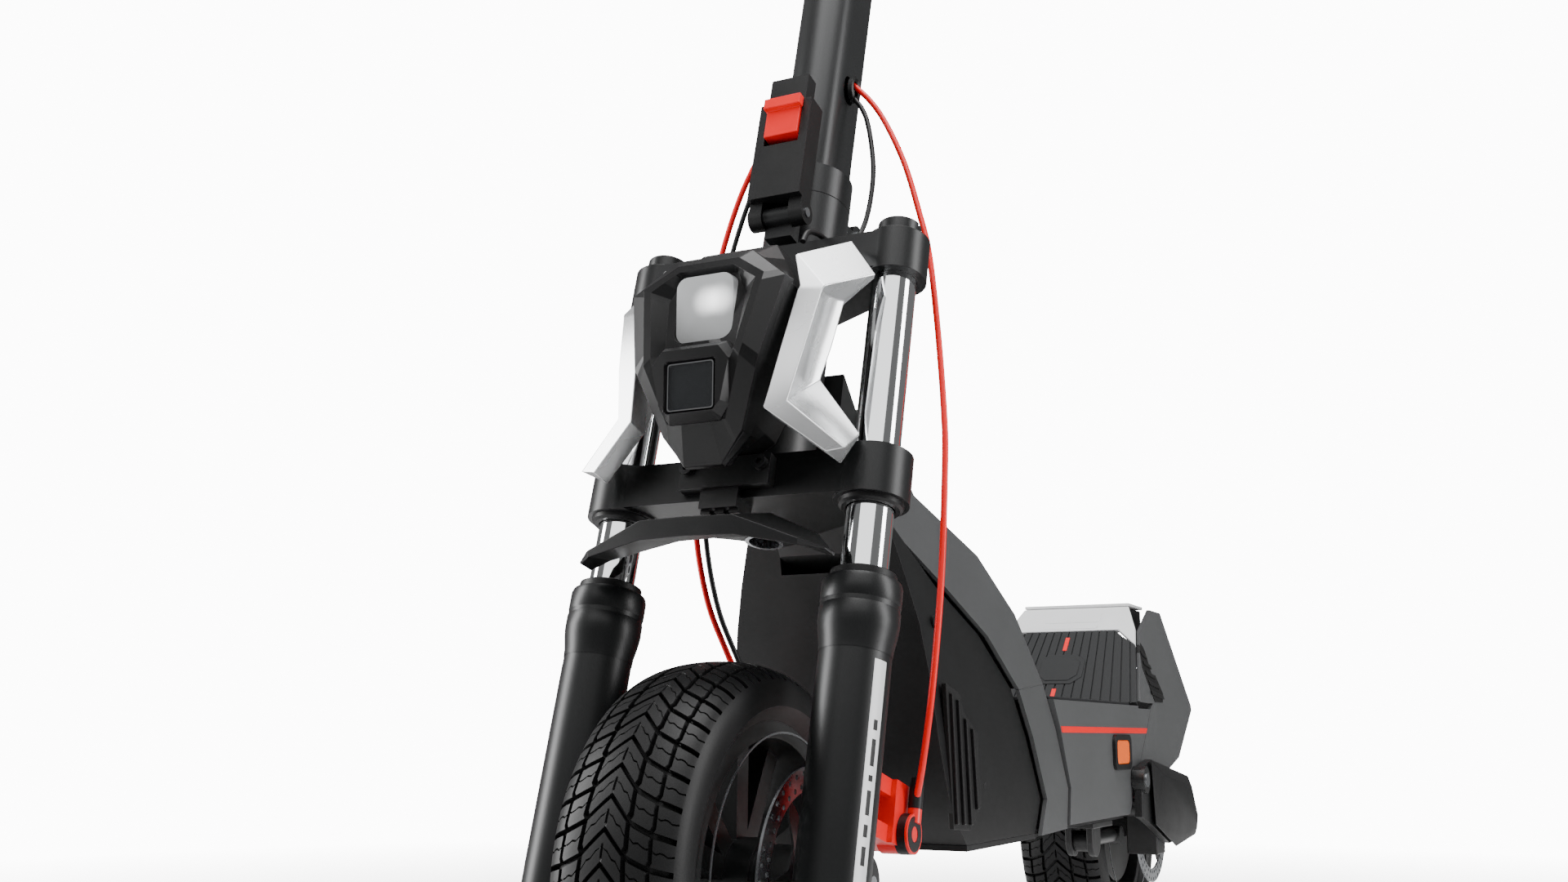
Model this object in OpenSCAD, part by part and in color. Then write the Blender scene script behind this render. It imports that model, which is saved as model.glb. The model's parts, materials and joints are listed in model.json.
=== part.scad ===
// Electric kick scooter with a dual-crown front fork and a folding stem.
// Origin on the ground midway between the axles; +X the rider's left, -Y forward, +Z up.

/* [Overall] */
// Distance between the two axles
wheelbase = 940; // [930:2:950]
// Radius of both tyres
wheel_r = 150; // [148:1:152]
// Backward lean of the steering axis from vertical, degrees
rake = 14.8; // [14:0.2:15.6]

/* [Fork and wheels] */
// Distance between the two fork legs
leg_gap = 213.5; // [212:0.5:216]
// How far the legs sit in front of the steering axis
leg_lead = 40; // [39:0.5:41]
// Radius of the chromed stanchions
stanchion_r = 17.4; // [17:0.1:18]
// Outer radius of the fork legs
leg_r = 25.7; // [25:0.1:26]
// Half width of the tyres
tyre_half = 50; // [46:1:50]
// Radius of the brake rotors
rotor_r = 77; // [74:1:78]
// Number of rim spokes
spokes = 5; // [4:1:7]

/* [Stem and handlebar] */
// Height of the handlebar along the steering axis, above the front axle
bar_s = 1085; // [1060:5:1100]
// Length of the handlebar
bar_len = 620; // [600:10:660]
// Outer radius of the handlebar at the grips
bar_r = 11.1; // [11:0.05:11.2]
// Wall thickness of the handlebar
bar_wall = 2; // [1.6:0.1:2.4]
// Half width of the stem tube
stem_half = 24; // [22:1:25]

/* [Deck] */
// Half width of the deck
deck_half = 103; // [100:1:104]
// Height of the deck's top face
deck_top = 283; // [281:1:284]
// Height of the deck's lower edge
deck_low = 163; // [162:1:165]

/* [Hidden] */
$fn = 64;

front_y = -wheelbase / 2;      // front axle
rear_y = wheelbase / 2;        // rear axle
leg_x = leg_gap / 2;
fit = 0.05;                    // radial running clearance
axle_r = 6;
steerer_r = 15;
tyre_seat_r = 108;             // where the tyre meets the rim
crown_low = [260, 298];        // lower crown, along the steering axis
crown_top = [447, 483];        // upper crown
head_s = [300.5, 444.5];       // head tube
seam_s = 556;                  // fold seam between stem base and stem
fold_pin = [45.6, 556];         // fold hinge, [behind the axis, along it]
latch_pin = [-47, 522];        // latch hinge
pivot = [765 + front_y, 200];  // swingarm pivot, [y, z]
stand_pin = [660, 138];         // kickstand hinge, in the chassis frame
spring_x = 84;
spring_y = 812 + front_y;
spring_z = [174, 262];

// ---- placing helpers ----
// Steering frame: x across, y behind the steering axis, z along it from the front axle
module steer() translate([0, front_y, wheel_r]) rotate([-rake, 0, 0]) children();
// Chassis frame: y counted back from the front axle
module chassis() translate([0, front_y, 0]) children();
module both_sides() { children(); mirror([1, 0, 0]) children(); }
// Round bar along X from x0 to x1 at [y, z]
module bar_x(r, x0, x1, at = [0, 0])
    translate([x0, at[0], at[1]]) rotate([0, 90, 0]) cylinder(r = r, h = x1 - x0);
// Round bar along Z from z0 to z1 at [x, y]
module post(r, z0, z1, at = [0, 0]) translate([at[0], at[1], z0]) cylinder(r = r, h = z1 - z0);
// Side outline [y, z] carried across from x0 to x1
module slab(x0, x1, outline)
    translate([x0, 0, 0]) rotate([90, 0, 90]) linear_extrude(x1 - x0) polygon(outline);
// Front outline [x, z] carried back from y0 to y1
module face(y0, y1, outline)
    translate([0, y1, 0]) rotate([90, 0, 0]) linear_extrude(y1 - y0) polygon(outline);
module box(low, high) translate(low) cube(high - low);
function mirrored(pts) = concat(pts, [for (i = [len(pts) - 1:-1:0]) [-pts[i][0], pts[i][1]]]);
function rounded_rect(hx, z0, z1, r) = [for (q = [0:3], a = [0:15:90])
    let (cx = (q == 0 || q == 3) ? hx - r : r - hx, cz = q < 2 ? z1 - r : z0 + r)
    [cx + r * cos(a + 90 * q), cz + r * sin(a + 90 * q)]];

function sum(v, i = 0) = i < len(v) ? v[i] + sum(v, i + 1) : 0 * v[0];
function ring_normal(r) = sum([for (i = [0:len(r) - 1]) cross(r[i], r[(i + 1) % len(r)])]);
function flip(r) = [for (i = [len(r) - 1:-1:0]) r[i]];
// Skin through rings that all have the same even number of points. Each end is closed by a strip
// between the ring's first half and its second half, so a ring may be bent like a U.
module loft(rings) {
    n = len(rings[0]);
    m = len(rings);
    turned = ring_normal(rings[0]) * (rings[1][0] - rings[0][0]) < 0;
    skin_rings = turned ? [for (r = rings) flip(r)] : rings;
    last = (m - 1) * n;
    polyhedron(
        points = [for (ring = skin_rings) each ring],
        faces = concat(
            [for (i = [0:n / 2 - 2]) [i, i + 1, n - 2 - i, n - 1 - i]],
            [for (k = [0:m - 2], i = [0:n - 1]) let (j = (i + 1) % n)
                each [[k * n + i, (k + 1) * n + i, (k + 1) * n + j],
                    [k * n + i, (k + 1) * n + j, k * n + j]]],
            [for (i = [0:n / 2 - 2]) [last + n - 1 - i, last + n - 2 - i, last + i + 1, last + i]]));
}

// Cord of radius r along a smooth curve through hand-chosen points
function unit(v) = v / norm(v);
function curve_at(p, i, t) = let (n = len(p) - 1,
    a = p[max(i - 1, 0)], b = p[i], c = p[min(i + 1, n)], d = p[min(i + 2, n)])
    0.5 * (2 * b + (c - a) * t + (2 * a - 5 * b + 4 * c - d) * t * t
    + (3 * b - a - 3 * c + d) * t * t * t);
module cord(pts, r, sides = 8, per = 3) {
    c = [for (i = [0:len(pts) - 2], k = [0:per - 1]) curve_at(pts, i, k / per), pts[len(pts) - 1]];
    n = len(c);
    loft([for (i = [0:n - 1])
        let (t = unit(c[min(i + 1, n - 1)] - c[max(i - 1, 0)]),
            u = unit(cross(t, [0.2, 1, 0.1])), v = cross(t, u))
        [for (k = [0:sides - 1]) c[i] + r * (cos(360 * k / sides) * u + sin(360 * k / sides) * v)]]);
}

// ---- chassis ----
module head_tube_bore() steer() {
    post(20, head_s[0] - 60, head_s[1] + 60);
    post(24, head_s[0] - 1, head_s[0] + 12);
    post(24, head_s[1] - 12, head_s[1] + 1);
}
module neck_frame() color("#202124") difference() {
    union() {
        steer() post(31, head_s[0], head_s[1]);
        chassis() slab(-36, 36, [[118, 470], [135, 540], [160, 512], [225, 430], [325, 385],
            [395, 340], [448, 285], [461.8, 282.9], [488.8, 255], [517.8, 198], [511, 172],
            [470, 170], [440, 190],
            [395, 245], [330, 305], [250, 345], [160, 395]]);
    }
    head_tube_bore();
    steer() post(49, 200, head_s[0] - 0.01);
}
module headset_bearings() color("silver") steer() for (z = [head_s[0], head_s[1] - 12])
    difference() {
        post(24, z, z + 12);
        post(steerer_r + fit, z - 1, z + 13);
    }
// Each row of the neck: front edge [y, z], ridge [y, z], half width
neck_rows = [[[152, 470], [172, 518], 47], [[165, 418], [225, 450], 60], [[235, 375], [325, 408], 80],
    [[320, 335], [397, 360], 90], [[385, 290], [458, 297], 96], [[414, 247], [485, 255], 99],
    [[445, 190], [514, 198], 101], [[425, 158], [507, 160], 101]];
skin = 4;
module neck_cover() color("#4c4f52") chassis() {
    loft([for (i = [0:4]) let (f = neck_rows[i][0], g = neck_rows[i][1], w = neck_rows[i][2],
        v = w - skin, h = g - [skin, skin]) [[w, f[0], f[1]], [w, g[0], g[1]], [-w, g[0], g[1]],
        [-w, f[0], f[1]], [-v, f[0], f[1]], [-v, h[0], h[1]], [v, h[0], h[1]], [v, f[0], f[1]]]]);
    translate([0, 0.1, -0.4]) both_sides() loft([for (i = [4:7])
        let (f = neck_rows[i][0], g = neck_rows[i][1], w = neck_rows[i][2])
        [[w, f[0], f[1]], [w, g[0], g[1]], [w - skin, g[0], g[1]], [w - skin, f[0], f[1]]]]);
}
// Each row of the shroud: front y, back y, z, half width
shroud_rows = [[150, 159.5, 440, 58], [157, 165, 418, 64], [166, 231, 372, 76],
    [174, 312, 336, 84], [182, 381, 290, 90], [188, 411, 247, 93], [205, 441, 190, 96],
    [240, 423, 160, 96]];
module front_shroud() color("#17181a") chassis() difference() {
    shroud_shell();
    for (hole = [[-56, 254.7], [-47, 250.3]]) translate([hole[0], 160, hole[1]])
        rotate([-90, 0, 0]) cylinder(r = 5.5, h = 50);
    box([-36.5, 120, 380], [36.5, 300, 450]);
}
module shroud_shell() {
    loft([for (r = shroud_rows) let (w = r[3], v = w - skin, y = r[0], b = r[1] - 1, z = r[2])
        [[w, b, z], [w, y, z], [-w, y, z], [-w, b, z], [-v, b, z], [-v, y + skin, z],
        [v, y + skin, z], [v, b, z]]]);
    box([-96, 240, 155], [96, 422, 159.8]);
}
module deck_shell() color("#55585b") difference() {
    union() {
        difference() {
            chassis() slab(-deck_half, deck_half, [[468.5, deck_top], [489, 255], [518, 198],
                [511, deck_low], [742, deck_low], [862, deck_top]]);
            chassis() slab(3 - deck_half, deck_half - 3, [[480, deck_top - 3], [495, 252],
                [522, 198], [516, deck_low - 1], [738, deck_low - 1], [738, deck_top - 3]]);
            chassis() slab(3 - deck_half, deck_half - 3, [[742, deck_low - 1],
                [880, deck_low - 1], [880, deck_top - 3], [742, deck_top - 3]]);
            chassis() box([-62, 742, 0], [62, 900, deck_top - 3]);
            chassis() box([-200, 800, deck_top - 3], [200, 900, deck_top + 3]);
        }
        both_sides() {
            bar_x(14, 84, deck_half - 1, pivot);
            chassis() box([70, 740, pivot[1] - 14], [deck_half - 1, 755, pivot[1] + 14]);
            translate([0, spring_y, 0]) box([70, -15, spring_z[1]], [deck_half - 1, 15, deck_top - 3]);
        }
    }
    bar_x(8, -200, 200, pivot);
}
module deck_mat() color("#232425") chassis() box([-96, 476, deck_top], [96, 786, deck_top + 3.5]);
module bottom_cover() color("#1b1c1d") chassis()
    slab(-96, 96, [[424, deck_low - 4], [740, deck_low - 4], [740, deck_low - 0.1],
        [424, deck_low - 0.1]]);
module battery_pack() color("steelblue") chassis() box([-84, 528, 172], [84, 698, 264]);
module controller_box() color("silver") chassis() box([-70, 704, 180], [70, 735, 260]);
kick_at = [792, 287];
kick_tilt = atan2(91, 92);
kick_len = 128;
module kick_frame() translate([0, front_y + kick_at[0], kick_at[1]]) rotate([kick_tilt, 0, 0])
    children();
module kick_plate() color("#2c2d2e") kick_frame() {
    translate([0, 0, -5]) linear_extrude(5)
        polygon([[-103, 0], [103, 0], [82, kick_len], [-82, kick_len]]);
    translate([0, 58, 0]) linear_extrude(2) polygon([[-30, -14], [-18, -26], [18, -26], [30, -14],
        [30, 14], [18, 26], [-18, 26], [-30, 14]]);
}
module kick_cap() color("#c9cacb") {
    kick_frame() translate([0, kick_len + 0.5, -5]) linear_extrude(6)
        polygon([[-81, 0], [81, 0], [68, 44], [-68, 44]]);
    chassis() slab(-68, 68, [[915, 409], [918, 413], [985, 413], [985, 409]]);
}
// Side outline of the rear covers, [y, z]
cover_low = [[776, 194], [864, 283.3], [872, 287], [1084, 287], [1086, 282], [1000, 222],
    [860, 190]];
module rear_side_covers() color("#505356") both_sides() {
    chassis() slab(deck_half - 4, deck_half, cover_low);
    hull() {
        chassis() box([deck_half - 4, 872, 287], [deck_half, 1085, 288]);
        chassis() box([76, 972, 406], [80, 1030, 408]);
    }
    hull() {
        chassis() box([deck_half - 4, 810, 288], [deck_half, 873, 289]);
        chassis() box([80, 900, 374], [84, 905, 376]);
        chassis() box([deck_half - 4, 872, 287], [deck_half, 890, 288]);
    }
    hull() {
        chassis() box([80, 900, 374], [84, 905, 376]);
        chassis() box([76, 972, 406], [80, 980, 408]);
        chassis() box([deck_half - 4, 872, 287], [deck_half, 890, 288]);
    }
}
module side_reflectors() {
    color("#111111") both_sides() chassis() difference() {
        box([deck_half, 676, 212], [deck_half + 4, 748, 250]);
        box([deck_half + 2, 684, 218], [deck_half + 5, 740, 244]);
    }
    color("orange") both_sides() chassis() box([deck_half + 2, 685, 219], [deck_half + 3.5, 739, 243]);
}
module arc_band(r0, r1, a0, a1, half) translate([-half, rear_y, wheel_r]) rotate([90, 0, 90])
    linear_extrude(2 * half) polygon(concat([for (k = [0:24]) let (a = a0 + (a1 - a0) * k / 24)
        r1 * [cos(a), sin(a)]], [for (k = [24:-1:0]) let (a = a0 + (a1 - a0) * k / 24)
        r0 * [cos(a), sin(a)]]));
module rear_fender() color("#18191a") {
    arc_band(182, 185.5, 38, 138, 62);
    chassis() for (x = [-61, 58]) translate([x, 0, 0]) box([0, 935, 335], [3, 1000, 408.5]);
    both_sides() chassis() box([62, 985, 318], [89.5, 1010, 328]);
}
module tail_light() color("red") arc_band(185.6, 196, 46, 56, 46);
module kickstand_bracket() color("#1b1c1d") chassis() {
    box([50, 624, 153], [94, 700, deck_low - 4]);
    for (x = [57, 80]) {
        box([x, 644, 138], [x + 7, 676, 153]);
        bar_x(16, x, x + 7, stand_pin);
    }
    bar_x(5, 57, 87, stand_pin);
}
module swingarm_pivot_pin() color("silver") bar_x(8, -119, 119, pivot);
coil_turns = 5.5;
module rear_springs() color("crimson") for (side = [-1, 1])
    translate([side * spring_x, spring_y, 0])
        cord([for (k = [0:coil_turns * 8]) let (a = 45 * k, z = spring_z[0] + 2
            + (spring_z[1] - spring_z[0] - 4) * k / (coil_turns * 8))
            [10 * cos(a), 10 * sin(a), z]], 1.9, 6, 1);

// ---- swingarm ----
axle_rear = [rear_y, wheel_r];
module swingarm() color("#1d1e20") difference() {
    union() {
        both_sides() {
            slab(106, 114, [[pivot[0] - 10, pivot[1] + 12], [pivot[0] + 40, pivot[1] + 22],
                [rear_y + 20, wheel_r + 20], [rear_y + 24, wheel_r - 10], [rear_y, wheel_r - 22],
                [rear_y - 60, wheel_r - 26], [pivot[0] + 20, pivot[1] - 48],
                [pivot[0] - 14, pivot[1] - 40]]);
            bar_x(15, 104, 118, pivot);
            bar_x(20, 104, 116, axle_rear);
            bar_x(8, 72, 107, [spring_y, spring_z[0] - 9]);
            translate([spring_x, spring_y, spring_z[0] - 9]) cylinder(r = 11, h = 9);
        }
        bar_x(8, -107, 107, [pivot[0] - 3, pivot[1] - 30]);
    }
    bar_x(8 + fit, -200, 200, pivot);
    bar_x(7, -200, 200, axle_rear);
}
module swingarm_covers() color("#141516") both_sides() hull() {
    slab(118.2, 119, [[pivot[0] + 20, 222], [rear_y + 30, 200], [rear_y + 66, wheel_r + 4],
        [rear_y + 58, 128], [rear_y - 50, 120], [pivot[0] + 30, 150]]);
    slab(125, 126, [[pivot[0] + 50, 205], [rear_y + 18, 188], [rear_y + 46, wheel_r + 2],
        [rear_y + 38, 138], [rear_y - 40, 134], [pivot[0] + 60, 160]]);
}
module rear_axle() color("silver") bar_x(7, -118, 118, axle_rear);
module rear_caliper() color("#b01818") difference() {
    chassis() box([70, 850, 112], [105.8, 890, 158]);
    bar_x(rotor_r + 2, 75, 79, axle_rear);
    bar_x(46, 60, 110, axle_rear);
}
module tyre(at) color("#1a1a1a") translate([0, at[0], at[1]]) rotate([0, 90, 0])
    rotate_extrude($fn = 96) polygon(concat(
        [for (a = [-90:9:90]) let (c = cos(a)) [wheel_r - 42 * (1 - pow(c, 0.42)) , tyre_half * sin(a)]],
        [[tyre_seat_r, tyre_half - 9], [tyre_seat_r, 9 - tyre_half]]));
module rim_barrel() difference() {
    bar_x(tyre_seat_r, -tyre_half + 9, tyre_half - 9);
    bar_x(96, -tyre_half, tyre_half);
}
module rear_tyre() tyre(axle_rear);
module rear_hub_motor() color("#151617") translate([0, axle_rear[0], axle_rear[1]]) difference() {
    union() {
        rim_barrel();
        bar_x(97, -22, 22);
        bar_x(78, -34, 34);
        bar_x(24, -60, 79);
    }
    bar_x(7 + fit, -200, 200);
}
module rotor(x0) difference() {
    bar_x(rotor_r, x0, x0 + 2);
    bar_x(24.05, x0 - 1, x0 + 3);
    for (k = [0:5]) rotate([60 * k, 0, 0]) translate([x0 - 1, 0, 44]) rotate([0, 90, 0])
        cylinder(r = 9, h = 4);
}
module rear_rotor() color("silver") translate([0, axle_rear[0], axle_rear[1]]) rotor(76);

// ---- steering ----
module crown(s, ring, boss) difference() {
    union() {
        both_sides() post(ring, s[0], s[1], [leg_x, -leg_lead]);
        translate([0, 0, s[0] + 2]) linear_extrude(s[1] - s[0] - 4) polygon(mirrored(
            [[0, -leg_lead - 24], [leg_x, -leg_lead - 24], [leg_x + 10, -leg_lead],
            [leg_x, -leg_lead + 22], [boss - 2, 18], [0, 24]]));
        post(boss, s[0], s[1]);
    }
    both_sides() post(stanchion_r, s[0] - 1, s[1] + 1, [leg_x, -leg_lead]);
    post(steerer_r, s[0] - 1, s[1] + 1);
}
module lower_crown() color("#191a1b") steer() crown(crown_low, 28, 29);
module upper_crown() color("#191a1b") steer() crown(crown_top, 25, 29);
module steerer_tube() color("silver") steer() difference() {
    post(steerer_r, 252, 512);
    post(12, 250, 514);
}
module stanchions() color("white") steer() both_sides() difference() {
    post(stanchion_r, 25, 487, [leg_x, -leg_lead]);
    post(13.5, 24, 488, [leg_x, -leg_lead]);
}
module fork_caps() color("#222222") steer() both_sides() translate([leg_x, -leg_lead, 0]) {
    difference() {
        post(17, 487, 497);
        translate([-20, -1.5, 494]) cube([40, 3, 5]);
    }
    post(13.4, 470, 487.5);
}
module stem_base() color("#2b2d2f") steer() difference() {
    union() {
        post(35, crown_top[1], seam_s);
        box([-12, -46, 503], [12, -20, 531]);
        bar_x(8, -12, 12, latch_pin);
        for (x = [14.5, -26]) {
            bar_x(10, x, x + 11.5, fold_pin);
            box([x, 20, fold_pin[1] - 16], [x + 11.5, fold_pin[0], fold_pin[1] - 0.5]);
            box([x, fold_pin[0], fold_pin[1] - 16], [x + 11.5, fold_pin[0] + 9, fold_pin[1]]);
        }
    }
    post(steerer_r, crown_top[1] - 1, 512);
    bar_x(5, -60, 60, fold_pin);
    bar_x(4, -60, 60, latch_pin);
}
module hinge_pins() color("silver") steer() {
    bar_x(5, -28, 28, fold_pin);
    bar_x(4, -26, 26, latch_pin);
}
lamp_back = -66.5;             // rear face of the lamp, behind-axis coordinate
// Lamp seen from the side, [behind the axis, along it], and from the front, [x, along the axis]
lamp_side = [[lamp_back, 458], [-100, 458], [-134, 426], [-136, 338], [-116, 298], [-106, 270],
    [lamp_back, 270]];
lamp_front = [[0, 458], [33, 458], [65, 404], [52, 339], [33, 293], [16, 270], [0, 270]];
// The lamp's outer shape, drawn in on every side by wall
function drawn_in(s, wall) = s > 400 ? s - wall : s < 300 ? s + wall : s;
module lamp_solid(wall) steer() intersection() {
    face(-150, lamp_back, mirrored([for (p = lamp_front) [max(p[0] - wall, 0), drawn_in(p[1], wall)]]));
    slab(-90, 90, [for (p = lamp_side) [p[0] + (p[0] < -70 ? wall : 0), drawn_in(p[1], wall)]]);
}
module headlight_housing() color("#1c1d1e") difference() {
    lamp_solid(0);
    lamp_solid(5);
    steer() box([-38.4, -80, 267], [38.4, -60, 292.4]);
}
module lens_hole() steer() {
    face(-150, -120, rounded_rect(23.2, 356, 413, 9));
    face(-150, -120, rounded_rect(19, 304, 334.5, 3));
}
module headlight_bezel() color("#101112") difference() {
    steer() {
        face(-140, -134, mirrored([[0, 422], [26, 422], [51, 406], [40, 338], [0, 338]]));
        face(-145, -118, mirrored([[0, 346], [23.5, 346], [32, 336], [25.5, 309], [0, 303]]));
    }
    lamp_solid(-0.05);
    lens_hole();
}
module headlight_lens() color("#e8eef2", 0.8) difference() {
    steer() face(-138, -130, rounded_rect(23, 356.2, 412.8, 9));
    lamp_solid(-0.05);
}
module lower_lens() color("#9aa0a4", 0.8) difference() {
    steer() face(-143, -120, rounded_rect(18.8, 304.2, 334.3, 3));
    lamp_solid(-0.05);
}
// Places along a wing, top to bottom: front inner edge, front outer edge, rear outer edge
wing_places = [[[56, -110, 437], [58, -110, 438.5], [84, -75, 467]],
    [[68, -118, 404], [87, -115, 403], [107.5, -75, 433]],
    [[67, -119, 400], [86, -116, 399], [86.6, -80, 410]],
    [[55, -124, 303], [71, -119, 309], [74.5, -80, 345]],
    [[97, -101, 275], [111, -99, 277.5], [111.5, -80, 297]]];
module side_wings() color("#d5d7d9") steer() both_sides() loft([for (p = wing_places)
    [p[0], p[1], (p[1] + p[2]) / 2, p[2], p[2] + [-3, 7, 0], p[0] + [3, 22, 0]]]);
module beak_fender() color("#222324") steer() {
    hull() {
        box([-34, -62, 247], [34, -40, 250]);
        box([-40, -118, 224], [40, -114, 227]);
    }
    both_sides() hull() {
        box([33, -62, 246], [34, -44, 250]);
        box([38, -116, 223], [40, -112, 227]);
        box([99, -94, 205], [101, -76, 208]);
        box([84, -108, 206], [86, -104, 209]);
    }
}
module lamp_bracket() color("#161718") steer() {
    difference() {
        box([-38, -74, 268], [38, -64.1, 292]);
        for (x = [-31, 31]) translate([x, -60, 284]) rotate([90, 0, 0]) cylinder(r = 3, h = 20);
    }
    for (x = [-31, 31]) translate([x, -74, 284]) rotate([90, 0, 0]) difference() {
        cylinder(r = 5.5, h = 5);
        translate([0, 0, 2]) cylinder(r = 2.5, h = 4, $fn = 6);
    }
    for (x = [-20, -8, 4]) box([x, -66, 250.2], [x + 8, -46, 261.9]);
    box([-20, -70, 253], [12, -64.1, 268]);
}

// Routes of the brake hoses and cables, in the steering frame
front_route = [[24, 0, 690], [44, 1, 668], [62, 2, 640], [84, 3, 593], [102, 4, 540], [114, 5, 498],
    [126, 8, 428], [136, 11, 355], [139, 14, 313], [141, 20, 222], [138, 27, 143], [130, 40, 92],
    [122, 52, 66]];
rear_route = [[-24, 0, 690], [-42, 1, 664], [-58, 3, 636], [-76, 6, 590], [-90, 12, 530],
    [-97, 18, 465], [-96, 21, 400], [-90, 24, 330], [-81, 31, 270], [-70, 44, 222],
    [-60, 64, 190], [-58, 90, 172], [-56, 118, 160], [-56, 146, 151], [-56, 154, 149]];
lamp_route = [[24, 0, 678], [38, 0, 660], [48, 0, 635], [57, 0, 590], [58, -2, 548],
    [55, -8, 519], [51, -24, 500], [48, -44, 491], [46, -62, 488.5], [44.5, -72, 481],
    [43, -80, 467], [42, -86, 450]];
motor_route = [for (p = rear_route) [p[0] + (p[2] > 680 ? 0 : 9), p[1] + 2, p[2] > 680 ? 678 : p[2] - 4]];
module front_hose() color("red") steer() cord(front_route, 2.5);
module rear_hose() color("red") steer() cord(rear_route, 2.5);
module wiring_cables() color("#111111") steer() {
    cord(lamp_route, 2.2);
    cord(motor_route, 2.2);
}

// ---- stem ----
function stem_outline(w, in) = concat([[w - in, 22 - in], [w - in, -20]],
    [for (t = [1:-0.2:-1]) [(w - 4 - in) * t, in - 36 + (10 - in / 2) * t * t]],
    [[in - w, -20], [in - w, 22 - in]]);
cable_hole_s = [677, 685];     // the oval cable hole is two bores that run together
module stem_tube() color("#2b2d2f") steer() difference() {
    union() {
        translate([0, 0, 580]) linear_extrude(bar_s - 600) polygon(stem_outline(stem_half, 0));
        post(35, seam_s + 0.5, 585);
        bar_x(10, -14, 14, fold_pin);
        box([-14, 20, fold_pin[1] + 0.5], [14, fold_pin[0], fold_pin[1] + 17]);
        bar_x(23, -30, 30, [0, bar_s]);
    }
    translate([0, 0, 590]) linear_extrude(bar_s - 620) polygon(stem_outline(stem_half, 3));
    bar_x(5 + fit, -60, 60, fold_pin);
    bar_x(15.9, -60, 60, [0, bar_s]);
    for (s = cable_hole_s) bar_x(9.8, -60, 60, [0, s]);
}
module handlebar() color("#26282a") steer() translate([0, 0, bar_s]) difference() {
    union() {
        bar_x(bar_r, -bar_len / 2, bar_len / 2);
        bar_x(15.9, -50, 50);
        both_sides() translate([50, 0, 0]) rotate([0, 90, 0])
            cylinder(r1 = 15.9, r2 = bar_r, h = 30);
    }
    bar_x(bar_r - bar_wall, -bar_len, bar_len);
}
module display() color("#0c0d0e") steer() translate([0, 4, bar_s + 21.4]) rotate([-25, 0, 0])
    box([-34, -24, 2], [34, 26, 14]);
module grips() color("#1b1b1c") steer() both_sides() difference() {
    bar_x(16.5, bar_len / 2 - 124, bar_len / 2 - 1, [0, bar_s]);
    bar_x(bar_r + 0.02, 0, bar_len, [0, bar_s]);
}
lever_x = 160;
lever_o = -36;
module lever_perches() color("#202223") steer() both_sides() {
    difference() {
        union() {
            bar_x(17, lever_x - 10, lever_x + 10, [0, bar_s]);
            box([lever_x - 8, lever_o, bar_s - 8], [lever_x + 8, -10, bar_s + 8]);
            post(8, bar_s - 8, bar_s + 8, [lever_x, lever_o]);
        }
        bar_x(bar_r + 0.02, 0, bar_len, [0, bar_s]);
        box([lever_x - 12, lever_o - 12, bar_s - 3.5], [lever_x + 12, -22, bar_s + 3.5]);
    }
    post(3, bar_s - 7, bar_s + 7, [lever_x, lever_o]);
}
module brake_lever() difference() {
    union() {
        post(8, bar_s - 3, bar_s + 3, [lever_x, lever_o]);
        translate([0, 0, bar_s - 3]) linear_extrude(6) polygon([[lever_x - 2, lever_o - 8],
            [190, -59], [285, -64], [292, -60], [286, -55], [195, -50], [lever_x + 2, lever_o + 4]]);
    }
    post(3 + fit, bar_s - 10, bar_s + 10, [lever_x, lever_o]);
}
module brake_lever_left() color("#2a2c2e") steer() brake_lever();
module brake_lever_right() color("#2a2c2e") steer() mirror([1, 0, 0]) brake_lever();
module throttle() color("#b01818") steer() translate([0, 0, bar_s]) difference() {
    union() {
        bar_x(16, -146, -132);
        slab(-146, -132, [[8, 8], [36, -6], [40, -14], [34, -16], [6, -8]]);
    }
    bar_x(bar_r + 0.1, -200, 0);
}
module latch_lever() color("#1a1b1c") steer() difference() {
    union() {
        box([-24, -63, 532.5], [24, -42, 628]);
        box([-17.5, -62, 620], [17.5, -48, 654]);
        both_sides() {
            bar_x(10, 12.3, 25, latch_pin);
            box([12.3, -57, 522], [24, -42, 534]);
        }
    }
    box([-16, -64, 585], [16, -53, 629]);
    bar_x(4 + fit, -60, 60, latch_pin);
}
module latch_slider() color("red") steer() {
    box([-15.6, -66, 592], [15.6, -53.4, 624]);
    box([-17, -71, 618], [17, -63.4, 628]);
}

// ---- sliding fork legs and front wheel ----
module fork_legs() color("#232527") steer() difference() {
    union() both_sides() {
        post(leg_r, -42, 196, [leg_x, -leg_lead]);
        post(28.5, 166, 198, [leg_x, -leg_lead]);
        box([86, -leg_lead, -20], [leg_x + 8, 0, 20]);
        bar_x(20, 86, leg_x + 8);
    }
    both_sides() post(stanchion_r + fit, -32, 200, [leg_x, -leg_lead]);
    bar_x(axle_r, -200, 200);
}
module dust_seals() color("#0e0e0f") steer() both_sides() difference() {
    post(24, 198, 206, [leg_x, -leg_lead]);
    post(stanchion_r + fit, 190, 210, [leg_x, -leg_lead]);
}
module front_axle() color("silver") steer() {
    bar_x(axle_r, -leg_x - 12, leg_x + 12);
    both_sides() bar_x(9, 74, 85.9);
}
module front_caliper() color("#d01414") steer() difference() {
    union() {
        box([60, 26, 34], [100, 66, 78]);
        box([98, -14.2, 34], [112, 60, 46]);
        box([98, -14.2, 66], [112, 60, 78]);
        box([98, 30, 34], [116, 66, 78]);
        bar_x(14, 100, 124, [50, 44]);
        translate([122, 52, 52]) cylinder(r = 5, h = 12.6);
    }
    bar_x(rotor_r + 2, 67, 75);
    bar_x(30, 50, 96);
}
module front_tyre() steer() tyre([0, 0]);
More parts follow.
